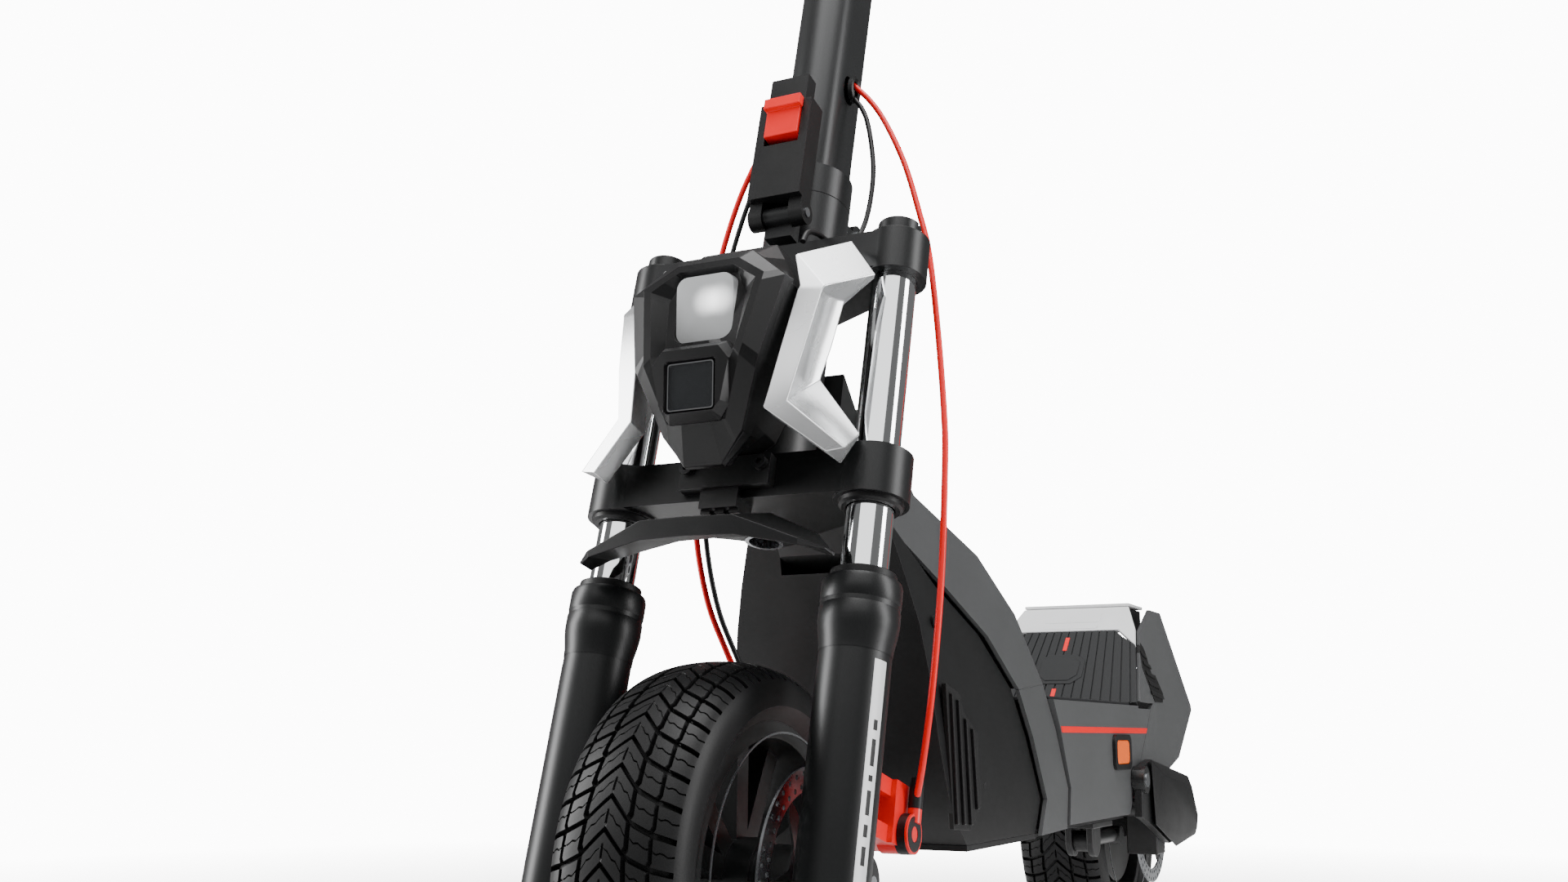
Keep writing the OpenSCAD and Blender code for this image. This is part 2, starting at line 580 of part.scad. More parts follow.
module front_rim() color("#141516") steer() difference() {
    union() {
        rim_barrel();
        bar_x(28, -38, 38);
        bar_x(20, -73, -38);
        bar_x(24, 38, 73);
        for (k = [0:spokes - 1]) rotate([360 / spokes * k, 0, 0]) for (a = [-14, 14])
            rotate([a, 0, 0]) box([-18, -8, 20], [18, 8, 98]);
    }
    bar_x(axle_r + fit, -200, 200);
}
module front_rotor() color("silver") steer() rotor(70);
module kickstand_leg() color("#1b1c1d") chassis() difference() {
    union() {
        bar_x(11, 64.3, 79.7, stand_pin);
        translate([72, 660, 138]) rotate([-90, 0, 0]) cylinder(r = 7.6, h = 126);
        bar_x(10, 62, 82, [782, 138]);
    }
    bar_x(5 + fit, 0, 200, stand_pin);
}

neck_frame();
headset_bearings();
neck_cover();
front_shroud();
deck_shell();
deck_mat();
bottom_cover();
battery_pack();
controller_box();
kick_plate();
kick_cap();
rear_side_covers();
side_reflectors();
rear_fender();
tail_light();
kickstand_bracket();
swingarm_pivot_pin();
rear_springs();
swingarm();
swingarm_covers();
rear_axle();
rear_caliper();
rear_tyre();
rear_hub_motor();
rear_rotor();
lower_crown();
upper_crown();
steerer_tube();
stem_base();
hinge_pins();
stanchions();
fork_caps();
headlight_housing();
headlight_bezel();
headlight_lens();
lower_lens();
side_wings();
beak_fender();
lamp_bracket();
front_hose();
rear_hose();
wiring_cables();
stem_tube();
handlebar();
display();
grips();
lever_perches();
brake_lever_left();
brake_lever_right();
throttle();
latch_lever();
latch_slider();
fork_legs();
dust_seals();
front_axle();
front_caliper();
front_tyre();
front_rim();
front_rotor();
kickstand_leg();
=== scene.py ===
# %% [markdown]
# # Electric kick scooter
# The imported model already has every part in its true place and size. This lesson gives those parts
# their looks: rounded edges, real tread, hoses that bend, and a finish for each material.
# Lengths are in millimetres inside the small helpers, and become metres when a mesh is made.

# %% Load the frame
import json
import math
import bmesh
import bpy
import numpy as np
from mathutils import Matrix, Vector

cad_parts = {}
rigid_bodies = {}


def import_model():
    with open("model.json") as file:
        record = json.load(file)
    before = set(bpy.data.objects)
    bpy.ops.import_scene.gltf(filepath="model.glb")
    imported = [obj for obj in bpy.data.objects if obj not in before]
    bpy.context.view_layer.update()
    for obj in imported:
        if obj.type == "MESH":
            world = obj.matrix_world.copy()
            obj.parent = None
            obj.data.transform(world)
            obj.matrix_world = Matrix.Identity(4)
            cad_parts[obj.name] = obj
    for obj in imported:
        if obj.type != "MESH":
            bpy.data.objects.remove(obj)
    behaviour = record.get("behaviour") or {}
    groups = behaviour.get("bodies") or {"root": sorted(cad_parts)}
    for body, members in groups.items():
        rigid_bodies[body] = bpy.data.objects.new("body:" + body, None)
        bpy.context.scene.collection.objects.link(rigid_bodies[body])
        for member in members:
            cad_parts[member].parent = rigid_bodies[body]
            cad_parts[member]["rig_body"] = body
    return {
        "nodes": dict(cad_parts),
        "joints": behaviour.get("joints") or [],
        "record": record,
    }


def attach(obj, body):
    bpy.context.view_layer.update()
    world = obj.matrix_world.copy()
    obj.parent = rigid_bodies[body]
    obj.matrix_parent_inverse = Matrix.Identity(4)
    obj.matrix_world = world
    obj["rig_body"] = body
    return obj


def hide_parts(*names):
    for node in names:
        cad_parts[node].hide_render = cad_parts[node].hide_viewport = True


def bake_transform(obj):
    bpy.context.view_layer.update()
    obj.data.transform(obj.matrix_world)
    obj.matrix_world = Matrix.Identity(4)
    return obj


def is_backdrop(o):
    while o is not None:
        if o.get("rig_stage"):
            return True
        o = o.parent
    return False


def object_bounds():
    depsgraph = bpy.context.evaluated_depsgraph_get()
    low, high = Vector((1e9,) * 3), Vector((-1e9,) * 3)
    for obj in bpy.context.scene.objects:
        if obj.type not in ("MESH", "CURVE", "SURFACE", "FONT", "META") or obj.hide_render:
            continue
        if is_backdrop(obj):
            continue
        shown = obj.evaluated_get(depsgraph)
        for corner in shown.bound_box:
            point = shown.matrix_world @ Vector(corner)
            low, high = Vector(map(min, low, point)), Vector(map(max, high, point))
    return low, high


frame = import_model()
cad_low, cad_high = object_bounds()
joints = {j["name"]: j for j in frame["joints"]}
slot_of = {s["node"]: s["material_slot"] for s in frame["record"]["subparts"]}

# %% [markdown]
# ## Two working frames
# The fork leans back, so its parts are easiest to place along the steering axis: x across, o behind
# the axis, s along it from the front axle. The rest of the scooter is placed by x, by y counted back
# from the front axle, and by z above the ground. Both frames come from the joints of the record.

# %% Steering frame and chassis frame
axis = joints["steering_turn"]["axis"]
LEAN = math.atan2(axis[1], axis[2])
HUB = np.array(joints["front_wheel_spin"]["pos_m"]) * 1000
REAR = np.array(joints["rear_wheel_spin"]["pos_m"]) * 1000
# The fork legs: half the distance between them, and how far they stand ahead of the steering axis
LEG_X, LEG_LEAD = 106.75, 40.0
SIDES = ((1, "left"), (-1, "right"))


def steer(p):
    """Points (x, o, s): hub + x across + o along the leaning 'behind' line + s up the steering axis."""
    p = np.asarray(p, float)
    c, s = math.cos(LEAN), math.sin(LEAN)
    return np.stack([p[..., 0], HUB[1] + p[..., 1] * c + p[..., 2] * s,
                     HUB[2] - p[..., 1] * s + p[..., 2] * c], -1) / 1000


def chassis(p):
    """Points (x, y behind the front axle, z above the ground)."""
    return (np.asarray(p, float) + [0, HUB[1], 0]) / 1000


print("lean", round(math.degrees(LEAN), 2), "deg, wheelbase", round(REAR[1] - HUB[1], 1), "mm")

# %% [markdown]
# ## Camera
# The scooter is seen from low in front on its left, looking slightly up, through a 34 mm lens.

# %% Camera
TURN, PITCH, ROLL = 0.4763, 0.1978, 0.0038
ahead = Vector((-math.sin(TURN), math.cos(TURN), 0)) * math.cos(PITCH) + Vector((0, 0, math.sin(PITCH)))
right = Vector((math.cos(TURN), math.sin(TURN), 0))
upward = right.cross(ahead)
right, upward = (right * math.cos(ROLL) + upward * math.sin(ROLL),
                 upward * math.cos(ROLL) - right * math.sin(ROLL))
camera = bpy.data.objects.new("camera", bpy.data.cameras.new("camera"))
camera.data.lens, camera.data.sensor_width = 33.69, 36
camera.data.sensor_fit = "HORIZONTAL"
camera.data.clip_start = 0.05
turn = Matrix((right, upward, -ahead)).transposed().to_4x4()
camera.matrix_world = Matrix.Translation((0.531, HUB[1] / 1000 - 0.932, 0.248)) @ turn
bpy.context.scene.collection.objects.link(camera)
bpy.context.scene.camera = camera
print("camera at", [round(v, 3) for v in camera.matrix_world.translation])

# %% [markdown]
# ## Nodes and colours
# One function adds a shader node with its settings and links. One function turns the sRGB hex
# values used for paint and plastic into the linear numbers that the renderer works in.

# %% Node and colour helpers


def linear(hex_colour):
    """sRGB to linear: value / 12.92 below 0.04045, else ((value + 0.055) / 1.055) to the power 2.4."""
    v = np.array([int(hex_colour[i:i + 2], 16) / 255 for i in (1, 3, 5)])
    v = np.where(v <= 0.04045, v / 12.92, ((v + 0.055) / 1.055) ** 2.4)
    return (*v.tolist(), 1.0)


def add(tree, kind, settings=(), links=()):
    """Adds one shader node; settings are attributes or input values, links join inputs to outputs."""
    node = tree.nodes.new(kind)
    for key, value in dict(settings).items():
        if isinstance(key, int) or key in node.inputs:
            node.inputs[key].default_value = value
        else:
            setattr(node, key, value)
    for key, output in dict(links).items():
        tree.links.new(output, node.inputs[key])
    return node


def new_material(name, base, rough, metallic=0.0, **sockets):
    """A material with one Principled shader; returns it with its tree, shader and Object coordinates."""
    material = bpy.data.materials.new(name)
    material.use_nodes = True
    tree = material.node_tree
    shader = tree.nodes["Principled BSDF"]
    values = {"Base Color": linear(base), "Roughness": rough, "Metallic": metallic, **sockets}
    for key, value in values.items():
        shader.inputs[key].default_value = value
    place = add(tree, "ShaderNodeTexCoord").outputs["Object"]
    return material, tree, shader, place


def grain(tree, shader, place, size_mm, height_mm, rough, spread, base=None, tint=0.12):
    """Noise with features of size_mm: it lifts the surface by height_mm, moves roughness by spread
    and, at 40 times the size, shades the colour by tint."""
    fine = add(tree, "ShaderNodeTexNoise", {"Scale": 1000 / size_mm, "Detail": 3.0}, {"Vector": place})
    wide = add(tree, "ShaderNodeTexNoise", {"Scale": 25 / size_mm, "Detail": 4.0}, {"Vector": place})
    bump = add(tree, "ShaderNodeBump", {"Strength": 1.0, "Distance": height_mm / 1000},
               {"Height": fine.outputs["Fac"]})
    tree.links.new(bump.outputs["Normal"], shader.inputs["Normal"])
    level = add(tree, "ShaderNodeMapRange", {"To Min": rough - spread, "To Max": rough + spread},
                {"Value": wide.outputs["Fac"]})
    tree.links.new(level.outputs["Result"], shader.inputs["Roughness"])
    if base:
        low, high = (tuple(min(1, c * k) for c in linear(base)[:3]) + (1,) for k in (1 - tint, 1 + tint))
        shade = add(tree, "ShaderNodeMix", {"data_type": "RGBA"}, {0: wide.outputs["Fac"]})
        shade.inputs[6].default_value, shade.inputs[7].default_value = low, high
        tree.links.new(shade.outputs[2], shader.inputs["Base Color"])


print("hex #808080 is", round(linear("#808080")[0], 3), "in linear numbers")

# %% [markdown]
# ## Finishes
# Satin paint has a smooth coat with a faint orange peel about 2 mm across. Moulded covers carry an
# eroded texture of half a millimetre, drawn a little coarser so that it shows. Cast and blasted metal
# has a fine bright grain. Chrome is almost a mirror. Rubber is matt and slightly mottled.

# %% Paint, plastic, metal and rubber


def satin_paint(name, colour, rough=0.42, coat=0.25, metallic=0.0):
    """Powder coat: coloured resin under a thin coat, with orange peel 2 mm across and 0.02 mm high."""
    material, tree, shader, place = new_material(
        name, colour, rough, metallic, **{"Coat Weight": coat, "Coat Roughness": 0.35})
    grain(tree, shader, place, 2.0, 0.02, rough, 0.04, colour)
    return material


def moulded_plastic(name, colour, rough=0.5, size=0.7, height=0.05):
    """ABS moulded against an eroded tool: matt pits about half a millimetre wide."""
    material, tree, shader, place = new_material(
        name, colour, rough, 0.0, IOR=1.53, **{"Specular IOR Level": 0.35})
    grain(tree, shader, place, size, height, rough, 0.06, colour)
    return material


def bare_metal(name, colour, rough, size=0.5, height=0.01, spread=0.05):
    """Metal left bright by casting, blasting or turning; the grain breaks up its reflections."""
    material, tree, shader, place = new_material(name, colour, rough, 1.0)
    grain(tree, shader, place, size, height, rough, spread, colour, 0.05)
    return material


def soft_rubber(name, colour, rough=0.62, size=1.2, height=0.06):
    """Vulcanised rubber: no clear reflections, a dusty mottle and a fine skin."""
    material, tree, shader, place = new_material(
        name, colour, rough, 0.0, IOR=1.52, **{"Specular IOR Level": 0.3})
    grain(tree, shader, place, size, height, rough, 0.1, colour, 0.25)
    return material


def clear_polycarbonate(name, colour, rough, transmission=0.9, glow=0.0):
    """Polycarbonate lens: clear or frosted by its roughness, with an optional faint glow, which on the tail
    lamp is its light and on the amber reflector is painted glow.
    """
    material, tree, shader, place = new_material(
        name, colour, rough, 0.0, IOR=1.58,
        **{"Transmission Weight": transmission, "Emission Strength": glow})
    shader.inputs["Emission Color"].default_value = linear(colour)
    grain(tree, shader, place, 1.5, 0.01, rough, 0.03)
    return material


print("helpers for paint, plastic, metal, rubber and lenses ready")

# %% [markdown]
# Each slot of the record gets one finish, and every CAD part wears the finish of its slot. The blacks
# differ more in roughness than in colour: paint is satin, covers are matt, the tyre is dusty.

# %% One finish for each slot
finishes = {
    "frame_black": satin_paint("satin_black_powder_coat", "#0d0e0f"),
    "neck_grey": satin_paint("graphite_powder_coat", "#454647", 0.42),
    "deck_grey": satin_paint("grey_powder_coat", "#494a4b", 0.45),
    "moulded_black": moulded_plastic("textured_black_abs", "#0a0a0b", 0.44),
    "gloss_black": moulded_plastic("smooth_black_polycarbonate", "#101011", 0.36, 1.4, 0.015),
    "mat_rubber": soft_rubber("ribbed_mat_rubber", "#232425"),
    "seal_rubber": soft_rubber("nitrile_seal_rubber", "#101011", 0.45),
    "tyre_rubber": soft_rubber("tyre_tread_rubber", "#0c0c0d", 0.46, 1.6, 0.05),
    "cap_silver": satin_paint("silver_lacquered_abs", "#e4e5e6", 0.32, 0.4),
    "wing_silver": satin_paint("silver_painted_casting", "#e6e7e8", 0.27, 0.3, 0.75),
    "chrome": bare_metal("hard_chrome_plate", "#eef0f1", 0.06, 3.0, 0.002, 0.02),
    "steel": bare_metal("turned_steel", "#b4b7ba", 0.28),
    "fork_black": satin_paint("satin_black_anodised_magnesium", "#141516", 0.38, 0.1, 0.3),
    "stem_grey": satin_paint("charcoal_anodised_aluminium", "#222324", 0.38, 0.1, 0.35),
    "caliper_red": satin_paint("red_anodised_aluminium", "#f00208", 0.34, 0.3),
    "hose_red": moulded_plastic("red_nylon_hose", "#ff0206", 0.36, 1.0, 0.01),
    "cable_black": soft_rubber("black_pvc_sleeve", "#131314", 0.4),
    "button_red": moulded_plastic("red_moulded_nylon", "#f80207", 0.4, 1.0, 0.02),
    "lens_clear": clear_polycarbonate("frosted_polycarbonate", "#eef1f3", 0.42, 0.6),
    "tail_red": clear_polycarbonate("red_lens_polycarbonate", "#c8101a", 0.15, 0.4, 0.2),
    # The amber reflector is no lamp: its emission of 0.25 is painted glow.
    "amber": clear_polycarbonate("amber_reflector_acrylic_painted_glow", "#ff6a00", 0.12, 0.15, 0.25),
    "pack_blue": moulded_plastic("blue_shrink_wrap", "#27589c", 0.3),
    "grip_rubber": soft_rubber("grip_rubber", "#1a1a1b", 0.6),
    "spring_red": satin_paint("red_powder_coat_spring", "#c81820", 0.35),
}
for node, part in frame["nodes"].items():
    part.data.materials.clear()
    part.data.materials.append(finishes[slot_of[node]])
print("finishes", len(finishes))

# %% [markdown]
# ## Putting numbers into meshes
# Every new surface is a grid or a ring of points worked out with numpy. `make` writes the arrays into
# a mesh, lets it ride on its body and names its finish. Most pieces get a small bevel, because a real
# edge always catches a thin line of light.

# %% One piece from points and faces


def make(name, points, faces, body, slot, replaces=(), bevel=0.0, smooth=30.0, finish=None, segments=2):
    """One piece from world points in metres and faces; bevel is in mm, smooth in degrees."""
    mesh = bpy.data.meshes.new(name)
    mesh.from_pydata(np.asarray(points).reshape(-1, 3), [], faces)
    mesh.validate()
    mesh.shade_smooth()
    mesh.set_sharp_from_angle(angle=math.radians(smooth))
    mesh.materials.append(finish or finishes[slot])
    piece = bpy.data.objects.new(name, mesh)
    bpy.context.scene.collection.objects.link(piece)
    if bevel:
        edge = piece.modifiers.new("edges", "BEVEL")
        edge.width, edge.segments = bevel / 1000, segments
        edge.limit_method, edge.angle_limit = "ANGLE", math.radians(smooth)
        edge.harden_normals = True
    if body:
        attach(piece, body)
    if replaces:
        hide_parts(*replaces)
    return piece


print("piece helper ready")

# %% [markdown]
# A skin is closed once its doubled points are merged and its faces turned outwards. `soften` is for a
# CAD part whose shape is already right: it copies the part, joins its flat faces and rounds its edges.

# %% Closed skins and softened CAD parts


def read_back(mesh):
    """Points of a mesh as one array, and its faces as lists of point numbers."""
    points = np.empty(len(mesh.vertices) * 3)
    mesh.vertices.foreach_get("co", points)
    return points.reshape(-1, 3), [list(face.vertices) for face in mesh.polygons]


def merged(mesh, flat=None):
    """Points and faces of a mesh once points closer than 2 micrometres are merged. With flat, faces
    within that many degrees of each other are joined; without it, all faces are turned outwards."""
    bm = bmesh.new()
    bm.from_mesh(mesh)
    bmesh.ops.remove_doubles(bm, verts=bm.verts, dist=2e-6)
    if flat:
        bmesh.ops.dissolve_limit(bm, angle_limit=math.radians(flat), verts=bm.verts, edges=bm.edges)
    else:
        bmesh.ops.recalc_face_normals(bm, faces=bm.faces)
    scratch = bpy.data.meshes.new("scratch")
    bm.to_mesh(scratch)
    bm.free()
    result = read_back(scratch)
    bpy.data.meshes.remove(scratch)
    return result


def closed(points, faces):
    """A skin with its doubled points merged, its empty faces dropped and its normals outwards."""
    rough = bpy.data.meshes.new("rough")
    rough.from_pydata(np.asarray(points).reshape(-1, 3), [], [f for f in faces if len(set(f)) > 2])
    result = merged(rough)
    bpy.data.meshes.remove(rough)
    return result


def soften(node, width, finish=None):
    """A CAD part with its edges rounded by width mm: doubles merged, flat faces joined, then a bevel."""
    source = frame["nodes"][node]
    points, faces = merged(source.data, flat=0.6)
    return make(node + "_finished", points, faces, source["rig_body"], slot_of[node], [node],
                width, 34.0, finish)


print("closing and softening ready")

# %% [markdown]
# Most shapes are a skin over a row of rings, or a profile turned on a lathe. The smallest helpers only
# place points: round the x axis, mirrored, in metres, or as an outline set at a depth.

# %% Lofts and lathe parts


def grid_faces(rows, columns, around=False, start=0):
    """Quads of a grid; with around, the last column joins the first."""
    i, j = np.meshgrid(np.arange(rows - 1), np.arange(columns if around else columns - 1), indexing="ij")
    k = (j + 1) % columns
    quads = np.stack([i * columns + j, i * columns + k, (i + 1) * columns + k, (i + 1) * columns + j], -1)
    return (quads.reshape(-1, 4) + start).tolist()


def loft(rings, caps=True):
    """Points and faces of a skin through rings of equal length, its two ends closed by one face each."""
    rings = np.asarray(rings, float)
    rows, columns = rings.shape[:2]
    faces = grid_faces(rows, columns, True)
    if caps:
        faces += [list(range(columns)), list(range((rows - 1) * columns, rows * columns))]
    return rings.reshape(-1, 3), faces


def skin(name, rings, place, body, slot, replaces=(), bevel=0.8, caps=True, **more):
    """A lofted piece: rings in mm, turned into the world by place, normals outwards."""
    points, faces = loft(rings, caps)
    points, faces = closed(place(points), faces)
    return make(name, points, faces, body, slot, replaces, bevel, **more)


def turned(name, profile, centre, place, body, slot, replaces=(), steps=72, line="x", bevel=0.0, **more):
    """A lathe part: profile of (radius, along) points swept round a line along x or s through centre.
    Point = centre + along on the line + radius times (cos, sin) of the turn."""
    profile = np.asarray(profile, float)
    turn = np.linspace(0, 2 * np.pi, steps, endpoint=False)
    r, along = profile[:, :1], np.repeat(profile[:, 1:], steps, 1)
    a, b = r * np.cos(turn), r * np.sin(turn)
    stack = [along, a, b] if line == "x" else [a, b, along]
    points = np.stack(stack, -1) + np.asarray(centre, float)
    points, faces = closed(place(points.reshape(-1, 3)), grid_faces(len(profile), steps, True))
    return make(name, points, faces, body, slot, replaces, bevel, **more)


def around_x(x, radius, turn):
    """Points round the x axis: (x, radius cos turn, radius sin turn), each a number or an array."""
    return np.stack(np.broadcast_arrays(x, radius * np.cos(turn), radius * np.sin(turn)), -1)


def mirror_x(points):
    """The same points on the other side: x changes sign."""
    return np.asarray(points, float) * [-1, 1, 1]


def in_metres(points):
    """World points in mm to metres."""
    return np.asarray(points, float) / 1000


def ring_at(outline, depth):
    """An outline of points (a, b) as a ring (a, depth, b); depth is one number or one a point."""
    outline = np.asarray(outline, float)
    depth = np.broadcast_to(np.asarray(depth, float), len(outline))
    return np.stack([outline[:, 0], depth, outline[:, 1]], -1)


print("helpers ready")

# %% [markdown]
# ## Hoses and cables
# Two red hydraulic hoses and two black cables leave the stem through rubber grommets. Each is a tube
# swept along a smooth curve through a few given points, the same ones as in the CAD model. The
# front hose crosses two joints and is two tubes that meet in a clip; no tube rides on a body, so none
# bends with the fold or the fork's travel. The other three end inside the steering or the neck.

# %% Routes and tubes
front_route = [[24, 0, 690], [44, 1, 668], [62, 2, 640], [84, 3, 593], [102, 4, 540], [114, 5, 498],
               [126, 8, 428], [136, 11, 355], [139, 14, 313], [141, 20, 222], [138, 27, 143],
               [130, 40, 92], [122, 52, 66]]
rear_route = [[-24, 0, 690], [-42, 1, 664], [-58, 3, 636], [-76, 6, 590], [-90, 12, 530],
              [-97, 18, 465], [-96, 21, 400], [-90, 24, 330], [-81, 31, 270], [-70, 44, 222],
              [-60, 64, 190], [-58, 90, 172], [-56, 118, 160], [-56, 146, 151], [-56, 154, 149]]
lamp_route = [[24, 0, 678], [38, 0, 660], [48, 0, 635], [57, 0, 590], [58, -2, 548], [55, -8, 519],
              [51, -24, 500], [48, -44, 491], [46, -62, 488], [44, -74, 482], [44, -80, 470]]
motor_route = [[x + (0 if s > 680 else 9), o + 2, 678 if s > 680 else s - 4] for x, o, s in rear_route]


def smooth_line(route, per=10):
    """Catmull-Rom curve: between b and c it is the cubic whose slopes are (c - a) / 2 and (d - b) / 2."""
    p = np.asarray(route, float)
    a, b = np.vstack([p[:1], p[:-2]]), p[:-1]
    c, d = p[1:], np.vstack([p[2:], p[-1:]])
    t = np.linspace(0, 1, per, endpoint=False)[None, :, None]
    a, b, c, d = (q[:, None, :] for q in (a, b, c, d))
    line = 0.5 * (2 * b + (c - a) * t + (2 * a - 5 * b + 4 * c - d) * t ** 2
                  + (3 * b - a - 3 * c + d) * t ** 3)
    return np.vstack([line.reshape(-1, 3), p[-1:]])


def tube(line, radius, sides=14):
    """Rings round a line: centre + radius (cos u + sin v), u and v square to the line's direction."""
    along = np.gradient(line, axis=0)
    along /= np.linalg.norm(along, axis=1, keepdims=True)
    u = np.cross(along, [0.2, 1, 0.1])
    u /= np.linalg.norm(u, axis=1, keepdims=True)
    v = np.cross(along, u)
    turn = np.linspace(0, 2 * np.pi, sides, endpoint=False)
    radius = np.broadcast_to(np.asarray(radius, float), (len(line),))[:, None, None]
    return line[:, None] + radius * (np.cos(turn)[None, :, None] * u[:, None]
                                     + np.sin(turn)[None, :, None] * v[:, None])


def hose(name, line, radius, slot, replaces=()):
    """A tube of the given radius round the line, placed by the steering frame on no body; the CAD parts in
    replaces are hidden.
    """
    piece = skin(name, tube(line, radius), steer, None, slot, replaces, 0.0, smooth=60.0)
    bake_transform(piece)


front_line = smooth_line(front_route)
CLIP_S = 465
clip = int(np.argmin(abs(front_line[:, 2] - CLIP_S)))
FOLD, TRAVEL, TURN = ("stem", "steering"), ("steering", "fork_lowers"), ("chassis", "steering")
for name, line, bodies, *bend in (
        ("front_hose_upper", front_line[:clip + 1], FOLD, [30, 0, 685], [114, 5, 500]),
        ("front_hose_lower", front_line[clip:], TRAVEL, [130, 8, 400], [139, 20, 180]),
        ("rear_hose_sleeve", smooth_line(rear_route[:6]), FOLD, [-30, 0, 685], [-90, 12, 530]),
        ("rear_hose_lower", smooth_line(rear_route[5:]), TURN, [-62, 60, 196], [-95, 20, 380])):
    hose(name, line, 2.5, "hose_red", [name.rpartition("_")[0]])
for name, line, bodies, *bend in (
        ("lamp_cable", smooth_line(lamp_route), FOLD, [30, 0, 676], [57, 0, 560]),
        ("motor_cable_upper", smooth_line(motor_route[:6]), FOLD, [-30, 0, 676], [-81, 14, 526]),
        ("motor_cable_lower", smooth_line(motor_route[5:]), TURN, [-53, 62, 192], [-86, 22, 376])):
    hose(name, line, 2.2, "cable_black", ["wiring_cables"])
print("front hose", round(float(np.linalg.norm(np.diff(front_line, axis=0), axis=1).sum())), "mm")

# %% [markdown]
# ## Tyre
# A road tyre has rows of blocks cut by V-shaped grooves, two grooves round each side, and thin wavy
# sipes. The mesh lines follow the pattern itself: rows run along the V grooves, columns run round the
# tyre along the block edges. So every groove has a crisp wall with few faces.

# %% Tread surface
PITCHES = 44
TREAD_EDGE = 66.0
TYRE_R, HALF_WIDTH, CROWN = 150, 50, 42
BEAD_R, BEAD_X = 108.0, 41.0
GROOVE, ROUND_GROOVE, SIPE, SPLIT = 5.4, 4.4, 1.6, 2.6


def tread_lines():
    """Where the mesh lines run: phases round the tyre, counted in pitches, with the kind of cut at
    each (1 a V groove, 2 a sipe), and angles in degrees across the section."""
    steps = np.array([0, 0.02, 0.17, 0.19, 0.32, 0.46, 0.53, 0.545, 0.575, 0.59, 0.66, 0.77, 0.89])
    kind = np.array([0, 1, 1, 0, 0, 0, 0, 2, 2, 0, 0, 0, 0])
    phase = (np.arange(PITCHES)[:, None] + steps).ravel()
    half = np.array([0, 1.0, 5, 9, 12.5, 15.5, 17, 17.8, 20.6, 21.4, 25, 29, 33, 36.5, 38.2, 39, 41.8,
                     42.6, 46, 50, 54, 58, 62, 65.2, TREAD_EDGE, 67.5, 72, 78, 84, 88])
    return phase, np.tile(kind, PITCHES), np.concatenate([-half[:0:-1], half])


def v_turn(phase, a):
    """Turn in radians: the phase, plus a V that grows with the distance from the centre line in three
    ever flatter runs, plus a zigzag wave that shows only round the sipes."""
    x = HALF_WIDTH * np.sin(np.radians(a))
    v = np.minimum(abs(x), 17) * 0.95 + np.clip(abs(x) - 17, 0, 16) * 0.42 \
        + np.clip(abs(x) - 33, 0, 30) * 0.22
    wave = 0.055 * (np.abs(((x * 0.14) % 1) - 0.5) * 4 - 1)
    zone = np.exp(-((phase % 1 - 0.56) / 0.12) ** 2)
    shift = np.where(abs(a) < TREAD_EDGE, wave * zone, 0)
    return (phase + shift + v / (2 * np.pi * 146 / PITCHES)) * 2 * np.pi / PITCHES


def cut_depth(kind, a, frac):
    """Depth in mm below the tread: V grooves, grooves round the tyre, sipes, and a split in the
    middle blocks, each the deepest of what meets there."""
    on_tread = abs(a) < TREAD_EDGE - 0.1
    round_groove = np.isin(np.round(abs(a), 2), [17.8, 20.6, 39.0, 41.8])
    depth = np.where(on_tread & (kind == 1), GROOVE, 0.0)
    depth = np.where(on_tread & round_groove, np.maximum(depth, ROUND_GROOVE), depth)
    depth = np.where(on_tread & (kind == 2) & (abs(a) > 3), np.maximum(depth, SIPE), depth)
    split = (abs(a) < 0.9) & (frac > 0.5) & (frac < 0.95)
    return np.where(split, np.maximum(depth, SPLIT), depth)


def tread(name, hub, body, node):
    """Grid of phase by angle a: x = 50 sin a, radius = 150 - 42 (1 - cos(a) ^ 0.42) less the depth of
    the cut. Block edges lean a little, and two bead rings close the tyre inside the rim."""
    phase, kind, across = tread_lines()
    ph, a = np.meshgrid(phase, across, indexing="ij")
    frac = ph % 1
    turn, depth = v_turn(ph, a), cut_depth(kind[:, None], a, frac)
    lean = np.where(abs(a) < 50, (frac - 0.5) * 3.0 * np.exp(-((abs(a) - 30) / 16) ** 2), 0) * np.sign(a)
    slope = np.radians(a + lean)
    shoulder = np.clip((abs(a) - TREAD_EDGE) / 2, 0, 1)
    radius = TYRE_R - CROWN * (1 - np.cos(slope) ** 0.42)
    radius = radius - depth - 1.2 * np.where(abs(a) > TREAD_EDGE, np.exp(-shoulder * 3), 0)
    inward = np.sign(a) * depth * np.clip((abs(a) - 40) / 40, 0, 1) * 0.8
    points = around_x(HALF_WIDTH * np.sin(slope) - inward, radius, turn)
    beads = around_x(np.array([-BEAD_X, BEAD_X]), BEAD_R, turn[:, :1])
    points = np.concatenate([beads[:, :1], points, beads[:, 1:]], 1)
    rows, columns = points.shape[:2]
    i = np.arange(rows)
    k, last = (i + 1) % rows, (columns - 1) * rows
    faces = grid_faces(columns, rows, True) + np.stack([last + i, last + k, k, i], -1).tolist()
    flat = in_metres(points.transpose(1, 0, 2).reshape(-1, 3) + hub)
    return make(name, flat, [f[::-1] for f in faces], body, "tyre_rubber", [node], 0.0, 26.0)


for label, hub in (("front", HUB), ("rear", REAR)):
    made = tread(f"{label}_tread", hub, f"{label}_wheel", f"{label}_tyre")
    print(made.name, len(made.data.polygons), "faces")

# %% [markdown]
# ## Headlight
# The lamp is a black faceted box. Its face is a deep bezel: an outer edge, a chamfer, and flat facets
# that fall to the lens. Rings with corners at different angles have to share their points, so each
# outline is read by rays from the lens centre, at the angles of every corner of every ring.

# %% Rays and faceted rings


